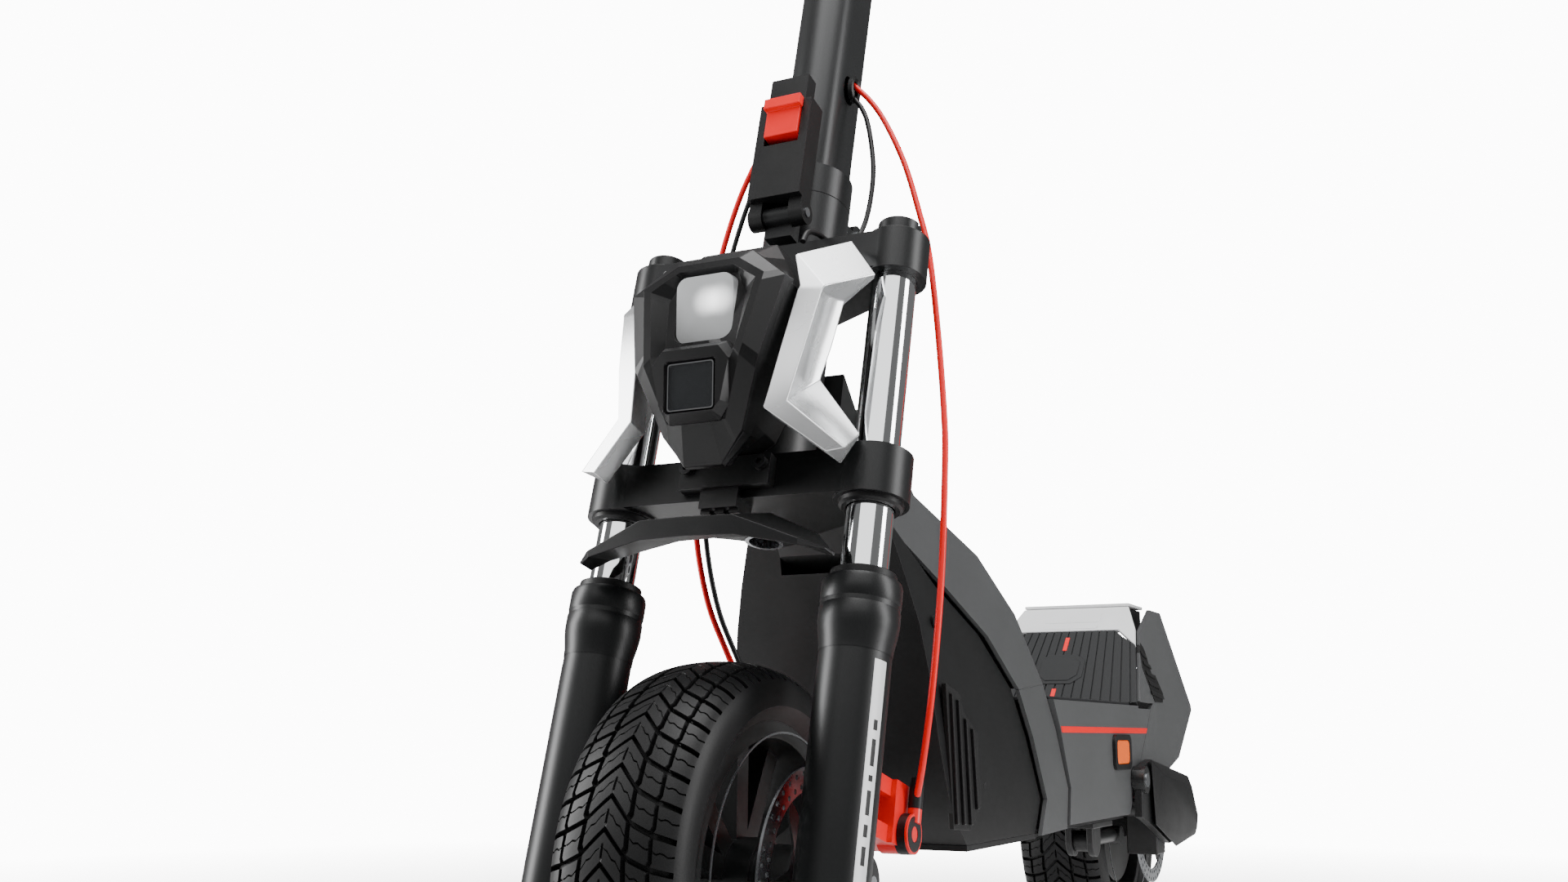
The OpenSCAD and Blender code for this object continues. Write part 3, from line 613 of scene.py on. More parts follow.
def by_rays(outline, centre, angles):
    """Where a ray from centre at each angle meets the outline: centre + t (cos, sin) = p + u (q - p)."""
    p = np.asarray(outline, float) - centre
    e = np.roll(p, -1, 0) - p
    d = np.stack([np.cos(angles), np.sin(angles)], -1)
    cross = d[:, None, 0] * e[None, :, 1] - d[:, None, 1] * e[None, :, 0]
    cross = np.where(abs(cross) < 1e-12, 1e-12, cross)
    t = (p[None, :, 0] * e[None, :, 1] - p[None, :, 1] * e[None, :, 0]) / cross
    u = (p[None, :, 0] * d[:, None, 1] - p[None, :, 1] * d[:, None, 0]) / cross
    t = np.where((u > -1e-9) & (u < 1 + 1e-9) & (t > 0), t, np.inf).min(1)
    return d * t[:, None] + centre


def both(outline):
    """A right-hand outline from top to bottom, closed by its mirror image."""
    right_side = [(abs(x), z) for x, z in outline]
    return right_side + [(-x, z) for x, z in right_side[::-1] if x > 0]


def rounded(hx, low, high, r, n=6):
    """Rectangle with its corners as quarter circles of radius r."""
    q = np.linspace(0, np.pi / 2, n)
    middles = ((hx - r, high - r), (r - hx, high - r), (r - hx, low + r), (hx - r, low + r))
    out = []
    for k, (cx, cz) in enumerate(middles):
        out += [(cx + r * math.cos(t + k * np.pi / 2), cz + r * math.sin(t + k * np.pi / 2)) for t in q]
    return out


def faceted(name, layers, centre, body, slot, replaces=(), bevel=0.8, place=chassis, caps=False, **more):
    """Layers are (y, outline). Each is cut by the same rays, then they are joined in turn."""
    angles = np.concatenate([np.arctan2(*(np.asarray(o, float) - centre).T[::-1]) for _, o in layers])
    angles = np.unique(np.round(angles, 5))
    rings = []
    for y, outline in layers:
        xz = by_rays(outline, centre, angles)
        rings.append(ring_at(xz, y(xz) if callable(y) else y))
    return skin(name, rings, place, body, slot, replaces, bevel, caps, **more)


def along_z(heights, depths):
    """Depth that changes in straight runs between the given heights."""
    return lambda xz: np.interp(xz[:, 1], heights, depths)


print("ring helpers ready")

# %% [markdown]
# The bezel's outlines lie one inside the other, and each falls back with height along its own line. The
# last two are the round-cornered hole that holds the main lens.

# %% Lamp bezel
LENS_MID = np.array([0.0, 556.5])
front_depth = along_z([469, 513, 577, 594], [-42, -51, -35, -27])
chamfer_depth = along_z([440, 462, 513, 575, 601], [-31, -33, -44, -28, -18])
pocket_depth = along_z([469, 513, 577, 594], [-38, -41, -25, -22])
front_edge = both([(26, 594), (51.3, 577), (40, 513), (24.5, 469)])
wide_edge = both([(33, 601), (65, 575), (52, 513), (33, 462), (16, 440)])
inner_edge = both([(23.5, 588), (44.5, 574), (34.5, 517), (20, 475)])
pocket = both([(23.8, 584), (33, 566), (29.5, 524), (19, 482)])
hole = rounded(24.6, 531, 583, 9)
bezel = [(lambda xz: chamfer_depth(xz) + 14, wide_edge), (chamfer_depth, wide_edge),
         (front_depth, front_edge), (front_depth, inner_edge), (pocket_depth, pocket),
         (lambda xz: pocket_depth(xz) + 0.6, hole), (-8, hole)]
faceted("lamp_bezel", bezel, LENS_MID, "steering", "gloss_black", ["headlight_bezel"], 0.7, smooth=9.0)
print("lamp bezel made")

# %% [markdown]
# The lamp's roof slopes up and back to the stem, and its chin folds under. Both are one shell behind
# the bezel, drawn along the steering axis so that it meets the bracket squarely. Under the main lens
# a small hood stands out of the bezel and carries the square lens.

# %% Lamp shell and hood
shell_low = [(64.6, 404), (51.6, 340)]
shell_front = both([(33, 429), *shell_low, (33, 294), (16, 271)])
shell_back = both([(33, 457.5), *shell_low, (33, 294), (16, 271)])
shell_rear = both([(33, 457.5), *shell_low, (37, 302), (24, 293)])
shell_depth = along_z([271, 294, 340, 404, 429], [-104, -108, -133, -132, -128])
shell = [(shell_depth, shell_front), (-99, shell_back), (-84, shell_rear), (-67, shell_rear)]
faceted("lamp_shell", shell, np.array([0.0, 380.0]), "steering", "moulded_black", ["headlight_housing"],
        0.9, steer, True, smooth=9.0)
HOOD_MID = np.array([0.0, 494.0])
hood_foot = both([(26, 526), (36, 512), (28.5, 479), (21, 468)])
hood_edge = both([(23.5, 521.5), (32, 511), (25.5, 481), (19, 474)])
hood_face = rounded(21.5, 474.5, 513.5, 3, 4)
window = rounded(19.6, 476, 512, 2.5, 4)
hood = [(-20, hood_foot), (-44, hood_foot), (-52, hood_edge), (-52.2, hood_face), (-47.5, window),
        (-30, window)]
faceted("lamp_hood", hood, HOOD_MID, "steering", "gloss_black", (), 0.6, smooth=9.0)
print("lamp shell and hood made")

# %% [markdown]
# The main lens is frosted and lit from behind by two small lamps, so it is brightest round two
# centres. A bowl of bright metal stands behind it. The square lens is smoked, in a thin bright rim.

# %% Lenses and reflector


def lens_block(name, outline, front, back, crown, centre, node, finish):
    """A lens: back edge, then a face in five shrinking rings, crowned: front - crown (1 - k ^ 2)."""
    outline = np.asarray(outline, float)
    rings = [ring_at(outline, back)]
    rings += [ring_at(centre + (outline - centre) * k, front - crown * (1 - k * k))
              for k in (1.0, 0.94, 0.8, 0.5, 0.05)]
    skin(name, rings, chassis, "steering", slot_of[node], [node], 0.0, smooth=50.0, finish=finish)


def glowing_lens(centres, inner, outer, strength):
    """Frosted lens lit from behind: emission falls from strength to a faint level between the inner and
    outer distances (mm) from each bright centre; the centres are world points in metres."""
    material, tree, shader, place = new_material(
        "frosted_lamp_lens", "#b4b6b7", 0.3, 0.0, IOR=1.58, **{"Transmission Weight": 0.15})
    shader.inputs["Emission Color"].default_value = (1, 1, 1, 1)
    total = None
    for centre in centres:
        far = add(tree, "ShaderNodeVectorMath", {"operation": "DISTANCE", 1: centre}, {0: place})
        glow = add(tree, "ShaderNodeMapRange",
                   {"interpolation_type": "SMOOTHERSTEP", "From Min": inner / 1000,
                    "From Max": outer / 1000, "To Min": strength, "To Max": 0.04},
                   {"Value": far.outputs["Value"]}).outputs["Result"]
        total = glow if total is None else add(
            tree, "ShaderNodeMath", {"operation": "ADD"}, {0: total, 1: glow}).outputs[0]
    tree.links.new(total, shader.inputs["Emission Strength"])
    return material


reflector_metal = bare_metal("vapour_coated_reflector", "#d4d6d8", 0.22, 2.0, 0.01)
smoked = clear_polycarbonate("smoked_polycarbonate", "#303234", 0.08, 0.35)
lit_lens = glowing_lens([chassis([x, -31, 562]).tolist() for x in (3, 13)], 1.0, 16.0, 1.5)
rim_metal = bare_metal("bright_lens_rim", "#d8dadc", 0.12, 2.0, 0.004)
lens_block("main_lens", rounded(24.2, 531.4, 582.6, 8.8), -31.5, -22, 2.0, LENS_MID, "headlight_lens",
           lit_lens)
lens_block("square_lens", rounded(19.0, 476.6, 511.4, 2), -49.5, -40, 0.8, HOOD_MID, "lower_lens", smoked)

round_turn = np.linspace(0, 2 * np.pi, 40, endpoint=False)
bowl = [(24.0 * k ** 0.5, -21 + 11 * (1 - k)) for k in np.linspace(1, 0.02, 9)]
bowl_rings = [np.stack([r * np.cos(round_turn), np.full(40, y),
                        LENS_MID[1] + r * 1.1 * np.sin(round_turn)], -1) for r, y in bowl]
skin("lamp_reflector", bowl_rings, chassis, "steering", "steel", (), 0.0, False, finish=reflector_metal,
     smooth=60.0)
rim_outside, rim_front = rounded(19.5, 476.1, 511.9, 2.4, 4), rounded(19.3, 476.3, 511.7, 2.2, 4)
rim_inner, rim_inside = rounded(18.4, 477.2, 510.8, 1.6, 4), rounded(18.2, 477.4, 510.6, 1.5, 4)
rim_rings = [ring_at(rim_outside, -49.0), ring_at(rim_front, -50.6), ring_at(rim_inner, -50.6),
             ring_at(rim_inside, -49.0)]
skin("square_lens_rim", rim_rings, chassis, "steering", "steel", (), 0.0, False, finish=rim_metal)
print("lamp done")

# %% [markdown]
# ## Silver wings
# Each wing is a cast blade bent like a V: a narrow bright band in front, and a face that curves back
# from it to the outer edge like the inside of a channel. Its section is carried down six places.

# %% Wings
# Each place: band's inner edge, band's outer edge, rear edge, as (x, o, s), and the depth of the channel
wing_places = [
    [(56, -110, 437), (58, -110, 438.5), (84, -75, 467), 0.0],
    [(68, -118, 404), (87, -115, 403), (107.5, -75, 433), 0.0],
    [(67, -119, 400), (86, -116, 399), (86.6, -80, 410), 3.0],
    [(61, -122, 351), (79, -119, 351), (80.5, -80, 372), 6.0],
    [(55, -124, 303), (71, -119, 309), (74.5, -80, 345), 5.0],
    [(97, -101, 275), (111, -99, 277.5), (111.5, -80, 297), 0.0]]


def wing(side, steps=7):
    """Section: band edge to edge, then p + (q - p) t - sag sin(pi t) across the channel, then the back."""
    t = np.linspace(0, 1, steps)[:, None]
    rings = []
    for inner, band, rear, sag in wing_places:
        inner, band, rear = (np.array(q, float) for q in (inner, band, rear))
        channel = band + (rear - band) * t - np.array([sag, -0.5 * sag, 0]) * np.sin(np.pi * t)
        rings.append(np.vstack([inner, channel, rear + [-4, 6, 0], inner + [2, 22, 0]]))
    return np.array(rings) * [side, 1, 1]


for side, label in SIDES:
    skin(f"wing_{label}", wing(side), steer, "steering", "wing_silver", ["side_wings"], 1.0, segments=3,
         smooth=24.0)
print("wings done")

# %% [markdown]
# ## Beak under the lamp
# The beak is a faceted wedge over the tyre: a sloping top, a short upright lip and a shallow underside.
# Four corners are carried from tip to tip, so every facet is flat and its edges stay crisp.

# %% Beak
# Each place: x, then top rear, top front, lip and underside rear as (o, s)
beak_places = [
    [0, (-62, 250), (-117.5, 226), (-113, 213), (-60, 233)],
    [38, (-62, 249), (-117, 225.5), (-113, 212), (-60, 232)],
    [86, (-76, 224), (-107, 209), (-104, 205.2), (-74, 214)],
    [101, (-77, 208), (-93, 206.5), (-92, 205.2), (-77, 205.4)]]
beak_half = [[(place[0], *corner) for corner in place[1:]] for place in beak_places]
beak_rings = np.array([mirror_x(ring) for ring in beak_half[:0:-1]] + beak_half, float)
skin("beak", beak_rings, steer, "steering", "moulded_black", ["beak_fender"], 1.2, smooth=9.0)
print("beak done")

# %% [markdown]
# ## Drilled brake discs
# A disc is a ring of small cells, each with one hole: eight points on the cell's border are joined to
# eight on the hole. A star-shaped carrier joins the ring to the hub.

# %% Drilled ring and carrier
EIGHT = np.array([(-1, -1), (0, -1), (1, -1), (1, 0), (1, 1), (0, 1), (-1, 1), (-1, 0)], float)


def drilled_ring(radii, count, hole_r, low, high):
    """Cell (row, k) covers radii[row..row + 1] and one turn / count. Border point = centre + half size
    times EIGHT in (turn, radius); hole point = centre + hole_r (cos, sin). Points are (along, a, b).
    Strips join border to hole on both faces, line the hole, and close the outer and inner rims."""
    points, faces = [], []
    eighth = np.arctan2(EIGHT[:, 1], EIGHT[:, 0])
    for row in range(len(radii) - 1):
        mid, half = (radii[row] + radii[row + 1]) / 2, (radii[row + 1] - radii[row]) / 2
        turn = (np.arange(count) + 0.5 * row) * 2 * np.pi / count
        edge_turn = turn[:, None] + EIGHT[:, 0] * np.pi / count
        edge_r = mid + half * EIGHT[:, 1]
        hole_turn = turn[:, None] + hole_r * np.cos(eighth) / mid
        hole_rad = mid + hole_r * np.sin(eighth)
        for along in (low, high):
            for t, r in ((edge_turn, edge_r), (hole_turn, hole_rad)):
                points.append(around_x(along, r, t).reshape(-1, 3))
        base, size = row * 4 * count * 8, count * 8
        k, j = np.meshgrid(np.arange(count), np.arange(8), indexing="ij")
        here, after = base + k * 8 + j, base + k * 8 + (j + 1) % 8
        strips = [(here, after, first * size, second * size) for first, second in ((0, 1), (3, 2), (1, 3))]
        if row in (0, len(radii) - 2):
            rim = EIGHT[:, 1] * (1 if row == len(radii) - 2 else -1)
            outer = [j for j in range(8) if rim[j] == 1 and rim[(j + 1) % 8] == 1]
            strips.append((here[:, outer], after[:, outer], 0, 2 * size))
        for p, q, first, second in strips:
            quads = np.stack([p + first, q + first, q + second, p + second], -1)
            faces += quads.reshape(-1, 4).tolist()
    return np.vstack(points), faces


def disc(label, centre, x0, body, node):
    """Friction ring from r 61 to r 77, and a carrier whose edge is r = 34 + 28.5 cos(3 t) ^ 8."""
    points, faces = drilled_ring([61, 69, 77], 42, 2.0, x0, x0 + 2)
    points, faces = closed(in_metres(points + centre), faces)
    make(label, points, faces, body, "steel", [node], 0.0, 30.0)
    t = np.linspace(0, 2 * np.pi, 144, endpoint=False)
    bore, edge = 24.1, 34 + 28.5 * np.cos(3 * t) ** 8
    back, front = x0 + 0.2, x0 + 1.8
    corners = ((back, bore), (back, edge), (front, edge), (front, bore), (back, bore))
    rings = [around_x(x, r, t) + centre for x, r in corners]
    skin(label + "_carrier", rings, in_metres, body, "frame_black", (), 0.0, False)


disc("front_disc", HUB, 70, "front_wheel", "front_rotor")
disc("rear_disc", REAR, 76, "rear_wheel", "rear_rotor")
rim_line = ((99.0, 49.6), (99.0, 50.5), (100.4, 50.5), (100.4, 49.6), (99.0, 49.6))
for label, hub in (("front", HUB), ("rear", REAR)):
    for side, word in SIDES[::-1]:
        turned(f"{label}_rim_line_{word}", [(r, side * x) for r, x in rim_line], hub, in_metres,
               f"{label}_wheel", "steel", steps=96)
print("discs done")

# %% [markdown]
# ## Small flat pieces
# Many details are thin plates: stripes, labels, bosses, louvres. One helper gives an outline a
# thickness, and small functions say which way the plate faces.

# %% Plates


def plate(name, outline, low, high, place, slot, replaces=(), bevel=0.4, **more):
    """An outline in two directions (a, b), solid from depth low to depth high, on the chassis."""
    rings = [ring_at(outline, depth) for depth in (low, high)]
    return skin(name, rings, place, "chassis", slot, replaces, bevel, **more)


def on_side(side):
    """(a, depth, b) to x = side * depth, y = a, z = b."""
    return lambda p: chassis(np.stack([side * p[..., 1], p[..., 0], p[..., 2]], -1))


# The kick plate's slope, and its lower edge as (y behind the front axle, z)
TILT = math.atan2(91, 92)
KICK_Y, KICK_Z = 792, 287


def on_kick(p):
    """(u across, w off the plate, v up its slope): y = KICK_Y + v cos - w sin, z = KICK_Z + v sin + w cos."""
    p = np.asarray(p, float)
    c, s = math.cos(TILT), math.sin(TILT)
    return chassis(np.stack([p[..., 0], KICK_Y + p[..., 2] * c - p[..., 1] * s,
                             KICK_Z + p[..., 2] * s + p[..., 1] * c], -1))


def on_top(p):
    """(a, depth, b) to x = a, y = b, z = depth."""
    return chassis(np.stack([p[..., 0], p[..., 2], p[..., 1]], -1))


def box_outline(a0, a1, b0, b1, r=0.0):
    """A rectangle from two corners, with round corners of radius r."""
    if r == 0:
        return [(a0, b0), (a1, b0), (a1, b1), (a0, b1)]
    middle = (a0 + a1) / 2
    return [(x + middle, z) for x, z in rounded((a1 - a0) / 2, b0, b1, r, 5)]


print("plate helper ready")

# %% [markdown]
# ## Kick plate and its silver cap
# The rubber mat has grooves that run up the slope. Its surface is a height over the plate: full
# height on the ribs and 1.6 mm less in the grooves. Its two upper corners are cut off, and the silver
# cap fills them. A raised eight-sided boss and two red marks sit on the middle line.

# %% Ribbed mat, boss and cap
GROOVES = np.arange(-96, 97, 12.0)


def ribbed_mat():
    """x = q (103 - 21 v / 128), v up to the cut corner; height 0 on a rib and -1.6 in a groove."""
    walls = [g + np.array([-1.0, -0.6, 0.6, 1.0]) for g in GROOVES]
    q = np.unique(np.concatenate([[-103, 103]] + walls)) / 103
    sunk = np.array([np.min(np.abs(g * 103 - GROOVES)) < 0.8 for g in q])
    v = np.array([0.0, 0.8, 99, 127.2, 128])
    top = np.interp(abs(q) * 86, [0, 60, 84], [128, 128, 101])
    vv = np.minimum(v[:, None], top[None, :] - (128 - v[:, None]) * (v[:, None] > 100))
    half = 103 - 21 * vv / 128
    w = np.where(sunk[None, :], -1.6, 0.0) * np.ones_like(vv)
    face = np.stack([q[None, :] * half, w, vv], -1)
    under = face * [1, 0, 1] + [0, -5, 0]
    n, m = face.shape[:2]
    border = [(0, j) for j in range(m)] + [(i, m - 1) for i in range(1, n)] \
        + [(n - 1, j) for j in range(m - 2, -1, -1)] + [(i, 0) for i in range(n - 2, 0, -1)]
    k = np.array([i * m + j for i, j in border])
    faces = grid_faces(n, m) + grid_faces(n, m, start=n * m)
    faces += np.stack([k, np.roll(k, -1), np.roll(k, -1) + n * m, k + n * m], -1).tolist()
    points, faces = closed(on_kick(np.concatenate([face, under]).reshape(-1, 3)), faces)
    make("kick_mat", points, faces, "chassis", "mat_rubber", ["kick_plate"], 0.0, 20.0)


ribbed_mat()
octagon = np.array([(-30, 44), (-18, 32), (18, 32), (30, 44), (30, 72), (18, 84), (-18, 84), (-30, 72)],
                   float)
small_octagon = (octagon - [0, 58]) * 0.8 + [0, 58]
plate("kick_boss", octagon, -2.0, 1.0, on_kick, "mat_rubber", bevel=0.8)
plate("kick_boss_face", small_octagon, 0.9, 1.9, on_kick, "mat_rubber", bevel=0.5)
for low_v, high_v in ((4, 24), (92, 116)):
    mark = box_outline(-2.6, 2.6, low_v, high_v)
    plate(f"kick_mark_{low_v}", mark, -1.4, 0.4, on_kick, "button_red", bevel=0.3)
cap = both([(68, 172), (82, 131), (86.8, 99.5), (62, 128.4)])
plate("kick_cap_shell", cap, -5.0, 1.0, on_kick, "cap_silver", ["kick_cap"], 0.9)
for name, outline, high, edge in (("panel", box_outline(-36, 36, 143, 165, 4), 1.6, 0.5),
                                  ("label", box_outline(-34, 34, 131.5, 138, 2), 1.5, 0.3)):
    plate(f"kick_cap_{name}", outline, 0.9, high, on_kick, "cap_silver", bevel=edge)
plate("kick_cap_top", box_outline(-68, 68, 915, 985), 409, 413, on_top, "cap_silver", ["kick_cap"], 0.9)
print("kick plate done")

# %% [markdown]
# ## Stripe and side reflectors
# The red stripe is a thin raised film on the deck's side. A reflector is a black frame round an amber
# lens. Each detail is a function of the side, so that left and right come out of one loop below.

# %% Stripe and reflector


def stripe_and_reflector(side, label):
    """A film 0.75 mm proud of the deck, a frame of four rings, and a lens that fills the frame."""
    place = on_side(side)
    stripe = [(493, 251.5), (831, 251.5), (837, 257.5), (490, 257.5)]
    plate(f"deck_stripe_{label}", stripe, 102.6, 103.35, place, "button_red", bevel=0.15)
    outer, inner = box_outline(678, 746, 212, 250, 9), box_outline(685, 739, 218, 244, 6)
    rings = [ring_at(o, d) for o, d in ((outer, 102), (outer, 107), (inner, 107), (inner, 104))]
    skin(f"reflector_frame_{label}", rings, place, "chassis", "moulded_black", ["side_reflectors"],
         0.6, False)
    plate(f"reflector_lens_{label}", box_outline(685.2, 738.8, 218.2, 243.8, 6), 102.5, 106.3, place,
          "amber", ["side_reflectors"], 1.2)


# Darker and more matt than the covers' black: painted shade for the back of the vents and the shroud's
# recess.
painted_shade_black = moulded_plastic("abs_painted_recess_shade", "#040404", 0.6)
print("stripe and reflector ready")

# %% [markdown]
# ## Vents and the front shroud's grille
# A vent is a panel with five sloping louvres on the rear cover's flank, which leans inwards as it
# rises; the panel behind the louvres is painted darker and more matt than the covers, as painted shade.
# The shroud has a recess crossed by four slanting ribs, its panel painted dark as shade, and two small
# rubber plugs.

# %% Vents and grille


def on_flank(side):
    """As on_side, on a flank that leans in above z = 288: x = side (103.6 - 0.235 (z - 288) + depth)."""
    return lambda p: chassis(np.stack(
        [side * (103.6 - 0.235 * np.clip(p[..., 2] - 288, 0, 200) + p[..., 1]), p[..., 0], p[..., 2]], -1))


def vent(side, label):
    """A panel, and louvres 12 mm apart that get 8 mm shorter each."""
    place = on_flank(side)
    panel = [(882, 289), (919, 289), (934, 300), (896, 356), (886, 362), (872, 350), (862, 330)]
    # The panel's darker black is painted shade behind the louvres.
    plate(f"vent_panel_{label}", panel, -4, 0.9, place, "moulded_black", bevel=0.6, finish=painted_shade_black)
    for k in range(5):
        z, end = 297 + 12 * k, 926 - 8 * k
        plate(f"louvre_{label}_{k}", [(872, z + 1), (end, z - 4), (end - 2, z + 1), (872, z + 6)],
              0.5, 2.6, place, "moulded_black", bevel=0.5)


def shroud_grille(side, label):
    """A recess panel, ribs 4 mm wide from (y0, z0) to (y1, z1), and two turned plugs."""
    place = on_side(side)
    recess = [(198, 290), (229, 283), (239, 267), (270, 250), (276, 190), (248, 171), (210, 174)]
    # The recess panel's darker black is painted shade.
    plate(f"shroud_panel_{label}", recess, 92, 96.6, place, "moulded_black", bevel=1.0, finish=painted_shade_black)
    ribs = ((206, 282, 214, 178), (221, 277, 230, 177), (238, 262, 246, 176), (254, 254, 262, 188))
    for k, (y0, z0, y1, z1) in enumerate(ribs):
        plate(f"shroud_rib_{label}_{k}", [(y0 - 2, z0), (y0 + 2, z0), (y1 + 2, z1), (y1 - 2, z1)],
              96, 99.5, place, "moulded_black", bevel=0.8)
    for k, (y, z, r, off) in enumerate(((205, 340, 5.5, 84), (290, 205, 4.0, 93.5))):
        x = side * off - (0 if side > 0 else 1.8)
        turned(f"shroud_hole_{label}_{k}", [(0.01, 1.6), (r - 1, 1.6), (r, 1.8), (r, 0)], (x, y, z),
               chassis, "chassis", "seal_rubber", steps=28)


for side, label in SIDES:
    stripe_and_reflector(side, label)
    vent(side, label)
    shroud_grille(side, label)
print("side details done")

# %% [markdown]
# ## Fork labels
# The label is a pale film that follows the round leg, with plain dark bars in place of lettering.

# %% Films on the fork legs


def leg_patch(name, side, angles, heights, radius, slot, thickness=0.3):
    """A film on the leg: x = leg + r sin(angle), o = lead - r cos(angle), for a grid of angle and s."""
    t = np.radians(np.linspace(*angles, 10))
    loops = []
    for s_value in heights:
        front, back = (np.stack([side * (LEG_X + r * np.sin(t)), -LEG_LEAD - r * np.cos(t),
                                 np.full(10, s_value)], -1) for r in (radius, radius - thickness))
        loops.append(np.vstack([front, back[::-1]]))
    skin(name, np.array(loops), steer, "fork_lowers", slot, (), 0.0, smooth=40.0)


for side, label in SIDES:
    leg_patch(f"fork_label_{label}", side, (57, 82), (-9, 140), 25.95, "cap_silver", 0.5)
    for k, heights in enumerate(((4, 16), (22, 30), (36, 52), (58, 62), (68, 86), (92, 99))):
        leg_patch(f"fork_label_bar_{label}_{k}", side, (66, 74), heights, 26.05, "seal_rubber", 0.3)
print("fork labels done")

# %% [markdown]
# ## Caliper cap, ferrule, grommets, bushings and collars
# All of these come off a lathe: a black piston cap, a rubber ferrule where the hose enters the caliper,
# rubber rings where the hoses leave the stem, bushings under the crown and the fork's stepped collars.

# %% Turned details
cap_profile = [(0.01, 119), (4.5, 119), (5.5, 124.5), (12, 124.5), (14.2, 122), (14.2, 114)]
ferrule_profile = [(2.6, 84), (4.4, 84), (5.2, 78), (5.2, 62), (2.6, 62)]
grommet_profile = [(5.5, 30.5), (7.5, 32), (9.4, 31), (9.4, 27), (5.5, 27)]
bushing_profile = [(18.2, 255.4), (21.5, 255.4), (23.6, 257), (24.4, 260.4), (18.2, 260.4)]
collar_profile = [(26.0, 146), (26.4, 152), (28.2, 162), (28.9, 168), (28.9, 178), (28.4, 179),
                  (28.4, 182), (28.9, 183), (28.9, 196), (27.8, 199.3), (24.4, 199.3)]


def in_cable_hole(side):
    """A ring round the x axis, turned oval by 1.35 along s, in the stem's cable hole at s = 681."""
    return lambda p: steer(p * [side, 1, 1.35] + [0, 0, 681])


turned("caliper_cap", cap_profile, (0, 50, 44), steer, "fork_lowers", "moulded_black", steps=40, bevel=0.3)
turned("hose_ferrule", ferrule_profile, (122, 52, 0), steer, "fork_lowers", "seal_rubber", steps=28,
       line="s")
for side, label in SIDES:
    leg = (side * LEG_X, -LEG_LEAD, 0)
    turned(f"stem_grommet_{label}", grommet_profile, (0, 0, 0), in_cable_hole(side), "stem",
           "seal_rubber", steps=40)
    turned(f"crown_bushing_{label}", bushing_profile, leg, steer, "steering", "seal_rubber", steps=48,
           line="s")
    turned(f"fork_collar_{label}", collar_profile, leg, steer, "fork_lowers", "fork_black", steps=64,
           line="s", bevel=0.3)
print("turned details done")

# %% [markdown]
# ## Parts that only need their edges rounded
# The CAD shape of these parts is already right. Each gets an edge radius in mm, larger on mouldings
# and castings than on cut metal. The rear caliper is painted black, unlike the red one in front.

# %% Rounded CAD parts
for node, width in {
        "neck_cover": 1.8, "front_shroud": 2.5, "deck_shell": 2.0, "deck_mat": 1.0,
        "rear_side_covers": 1.2, "rear_fender": 1.0, "tail_light": 1.5, "kickstand_bracket": 1.2,
        "swingarm": 2.0, "swingarm_covers": 1.5, "rear_caliper": 1.5, "lower_crown": 2.2,
        "upper_crown": 2.2, "stem_base": 1.5, "fork_caps": 1.0, "lamp_bracket": 0.8,
        "display": 1.2, "lever_perches": 1.0, "brake_lever_left": 1.2, "brake_lever_right": 1.2,
        "throttle": 1.2, "latch_lever": 2.0, "latch_slider": 1.5, "fork_legs": 1.0, "dust_seals": 1.0,
        "front_caliper": 2.0, "kickstand_leg": 1.5, "front_rim": 1.5, "stem_tube": 1.0,
        "rear_hub_motor": 1.5}.items():
    soften(node, width, finish=finishes["frame_black"] if node == "rear_caliper" else None)
print("rounded parts done")

# %% [markdown]
# ## Rear springs
# A coil spring shortens as the swingarm rises. The coils keep their CAD shape, as one piece that
# rides on no body.

# %% Springs as one piece
coil_points, coil_faces = read_back(frame["nodes"]["rear_springs"].data)
springs = make("rear_springs_finished", coil_points, coil_faces, None, "spring_red", ["rear_springs"],
               smooth=50.0)
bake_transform(springs)

# %% [markdown]
# ## Studio
# A pale round floor catches the shadow and fades out before its edge, so no rim shows. The surround is
# bright white where it is seen and dim where it lights, because a bright one would wash out the blacks.
# Large soft lamps at the sides, above and in front draw the long highlights instead.

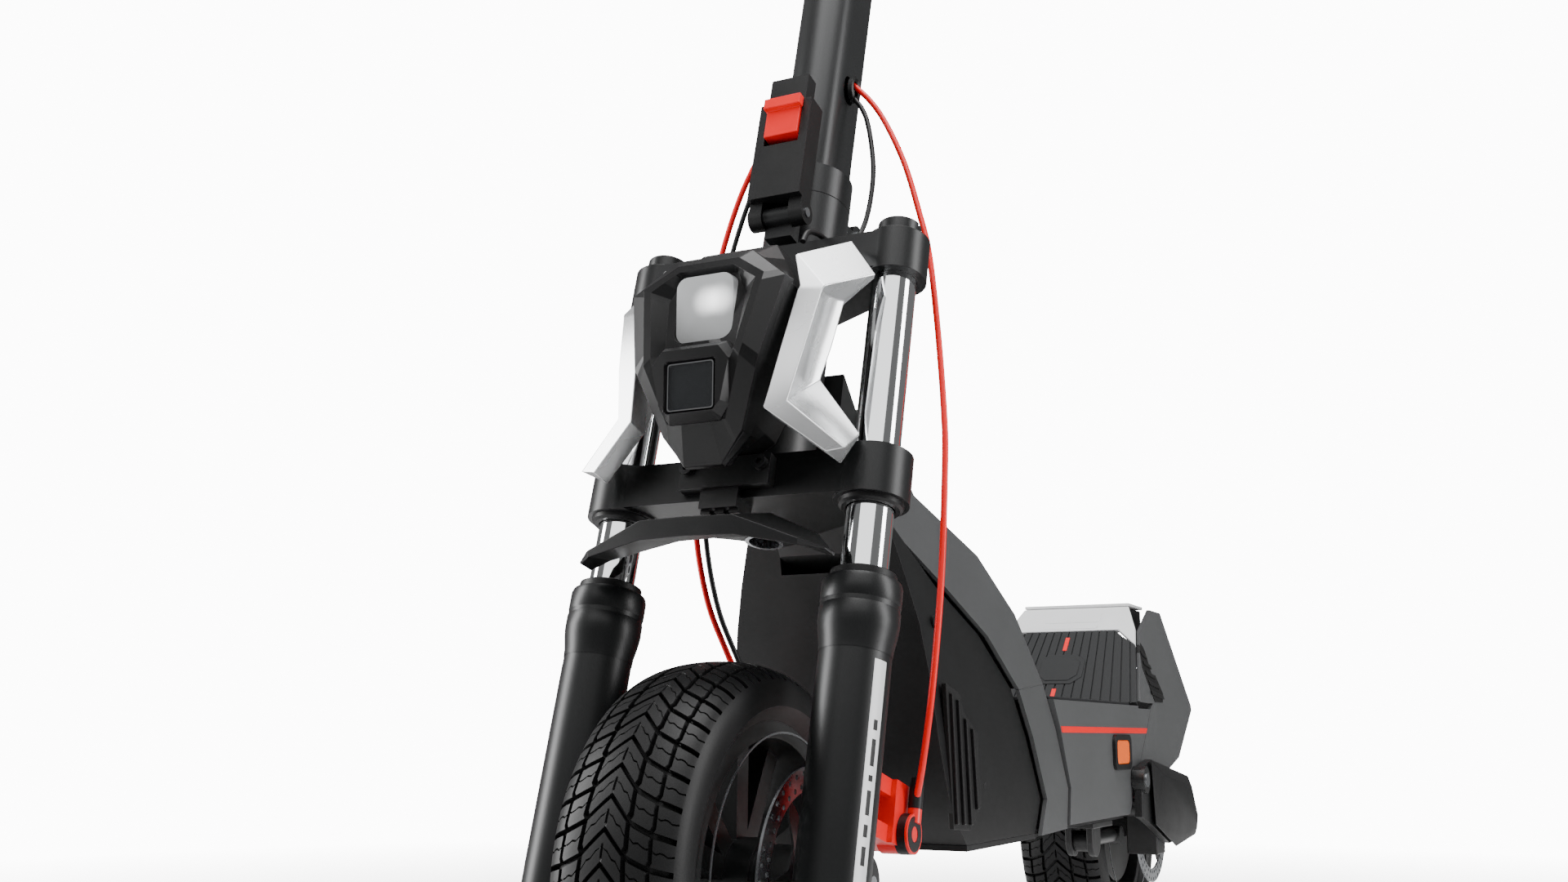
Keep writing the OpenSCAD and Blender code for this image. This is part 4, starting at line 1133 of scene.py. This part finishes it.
# %% Floor, surround and lamps
FLOOR_R, FADE_FROM, FADE_TO = 2.4, 0.6, 2.3
t = np.linspace(0, 2 * np.pi, 96, endpoint=False)
floor_points = np.stack([FLOOR_R * np.cos(t), FLOOR_R * np.sin(t), 0 * t], -1)
floor_mesh = bpy.data.meshes.new("floor")
floor_mesh.from_pydata(floor_points, [], [list(range(96))])
floor = bpy.data.objects.new("floor", floor_mesh)
floor_paint, tree, shader, place = new_material("matt_studio_floor", "#fafafa", 0.9)
far = add(tree, "ShaderNodeVectorMath", {"operation": "LENGTH"}, {0: place})
fade = add(tree, "ShaderNodeMapRange",
           {"From Min": FADE_FROM, "From Max": FADE_TO, "To Min": 1.0, "To Max": 0.0},
           {"Value": far.outputs["Value"]})
tree.links.new(fade.outputs["Result"], shader.inputs["Alpha"])
floor_mesh.materials.append(floor_paint)
bpy.context.scene.collection.objects.link(floor)
floor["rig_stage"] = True

world = bpy.data.worlds.new("studio")
bpy.context.scene.world = world
world.use_nodes = True
tree = world.node_tree
tree.nodes.clear()
seen = add(tree, "ShaderNodeBackground", {"Color": (1, 1, 1, 1), "Strength": 12.0})
lighting = add(tree, "ShaderNodeBackground", {"Color": (1, 1, 1, 1), "Strength": 0.17})
ray = add(tree, "ShaderNodeLightPath")
mix = add(tree, "ShaderNodeMixShader", (), {0: ray.outputs["Is Camera Ray"], 1: lighting.outputs[0],
                                            2: seen.outputs[0]})
add(tree, "ShaderNodeOutputWorld", (), {"Surface": mix.outputs[0]})


def softbox(name, place, target, size, power):
    """An area lamp of size metres, aimed from place at target."""
    lamp = bpy.data.objects.new(name, bpy.data.lights.new(name, "AREA"))
    lamp.data.shape, lamp.data.size, lamp.data.size_y = "RECTANGLE", size[0], size[1]
    lamp.data.energy = power
    lamp.location = place
    lamp.rotation_euler = (Vector(target) - Vector(place)).to_track_quat("-Z", "Y").to_euler()
    bpy.context.scene.collection.objects.link(lamp)


softbox("left_softbox", (-2.2, -1.2, 0.9), (0, -0.4, 0.4), (0.7, 2.4), 85)
softbox("right_softbox", (2.4, 0.2, 1.2), (0, -0.2, 0.5), (0.8, 2.4), 62)
softbox("top_softbox", (0.2, -0.6, 2.8), (0, -0.3, 0.3), (1.8, 2.2), 75)
softbox("front_softbox", (0.7, -2.7, 2.6), (0, -0.4, 0.4), (4.2, 1.4), 34)
print("studio ready")

# %% [markdown]
# ## Sizes
# The box round the finished pieces and the CAD box are both printed. The finished pieces must
# stay inside the CAD box.

# %% Sizes and finish
low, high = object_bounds()
for label, box in (("visual box", (*low, *high)), ("CAD box", (*cad_low, *cad_high))):
    print(label, [round(v, 4) for v in box])
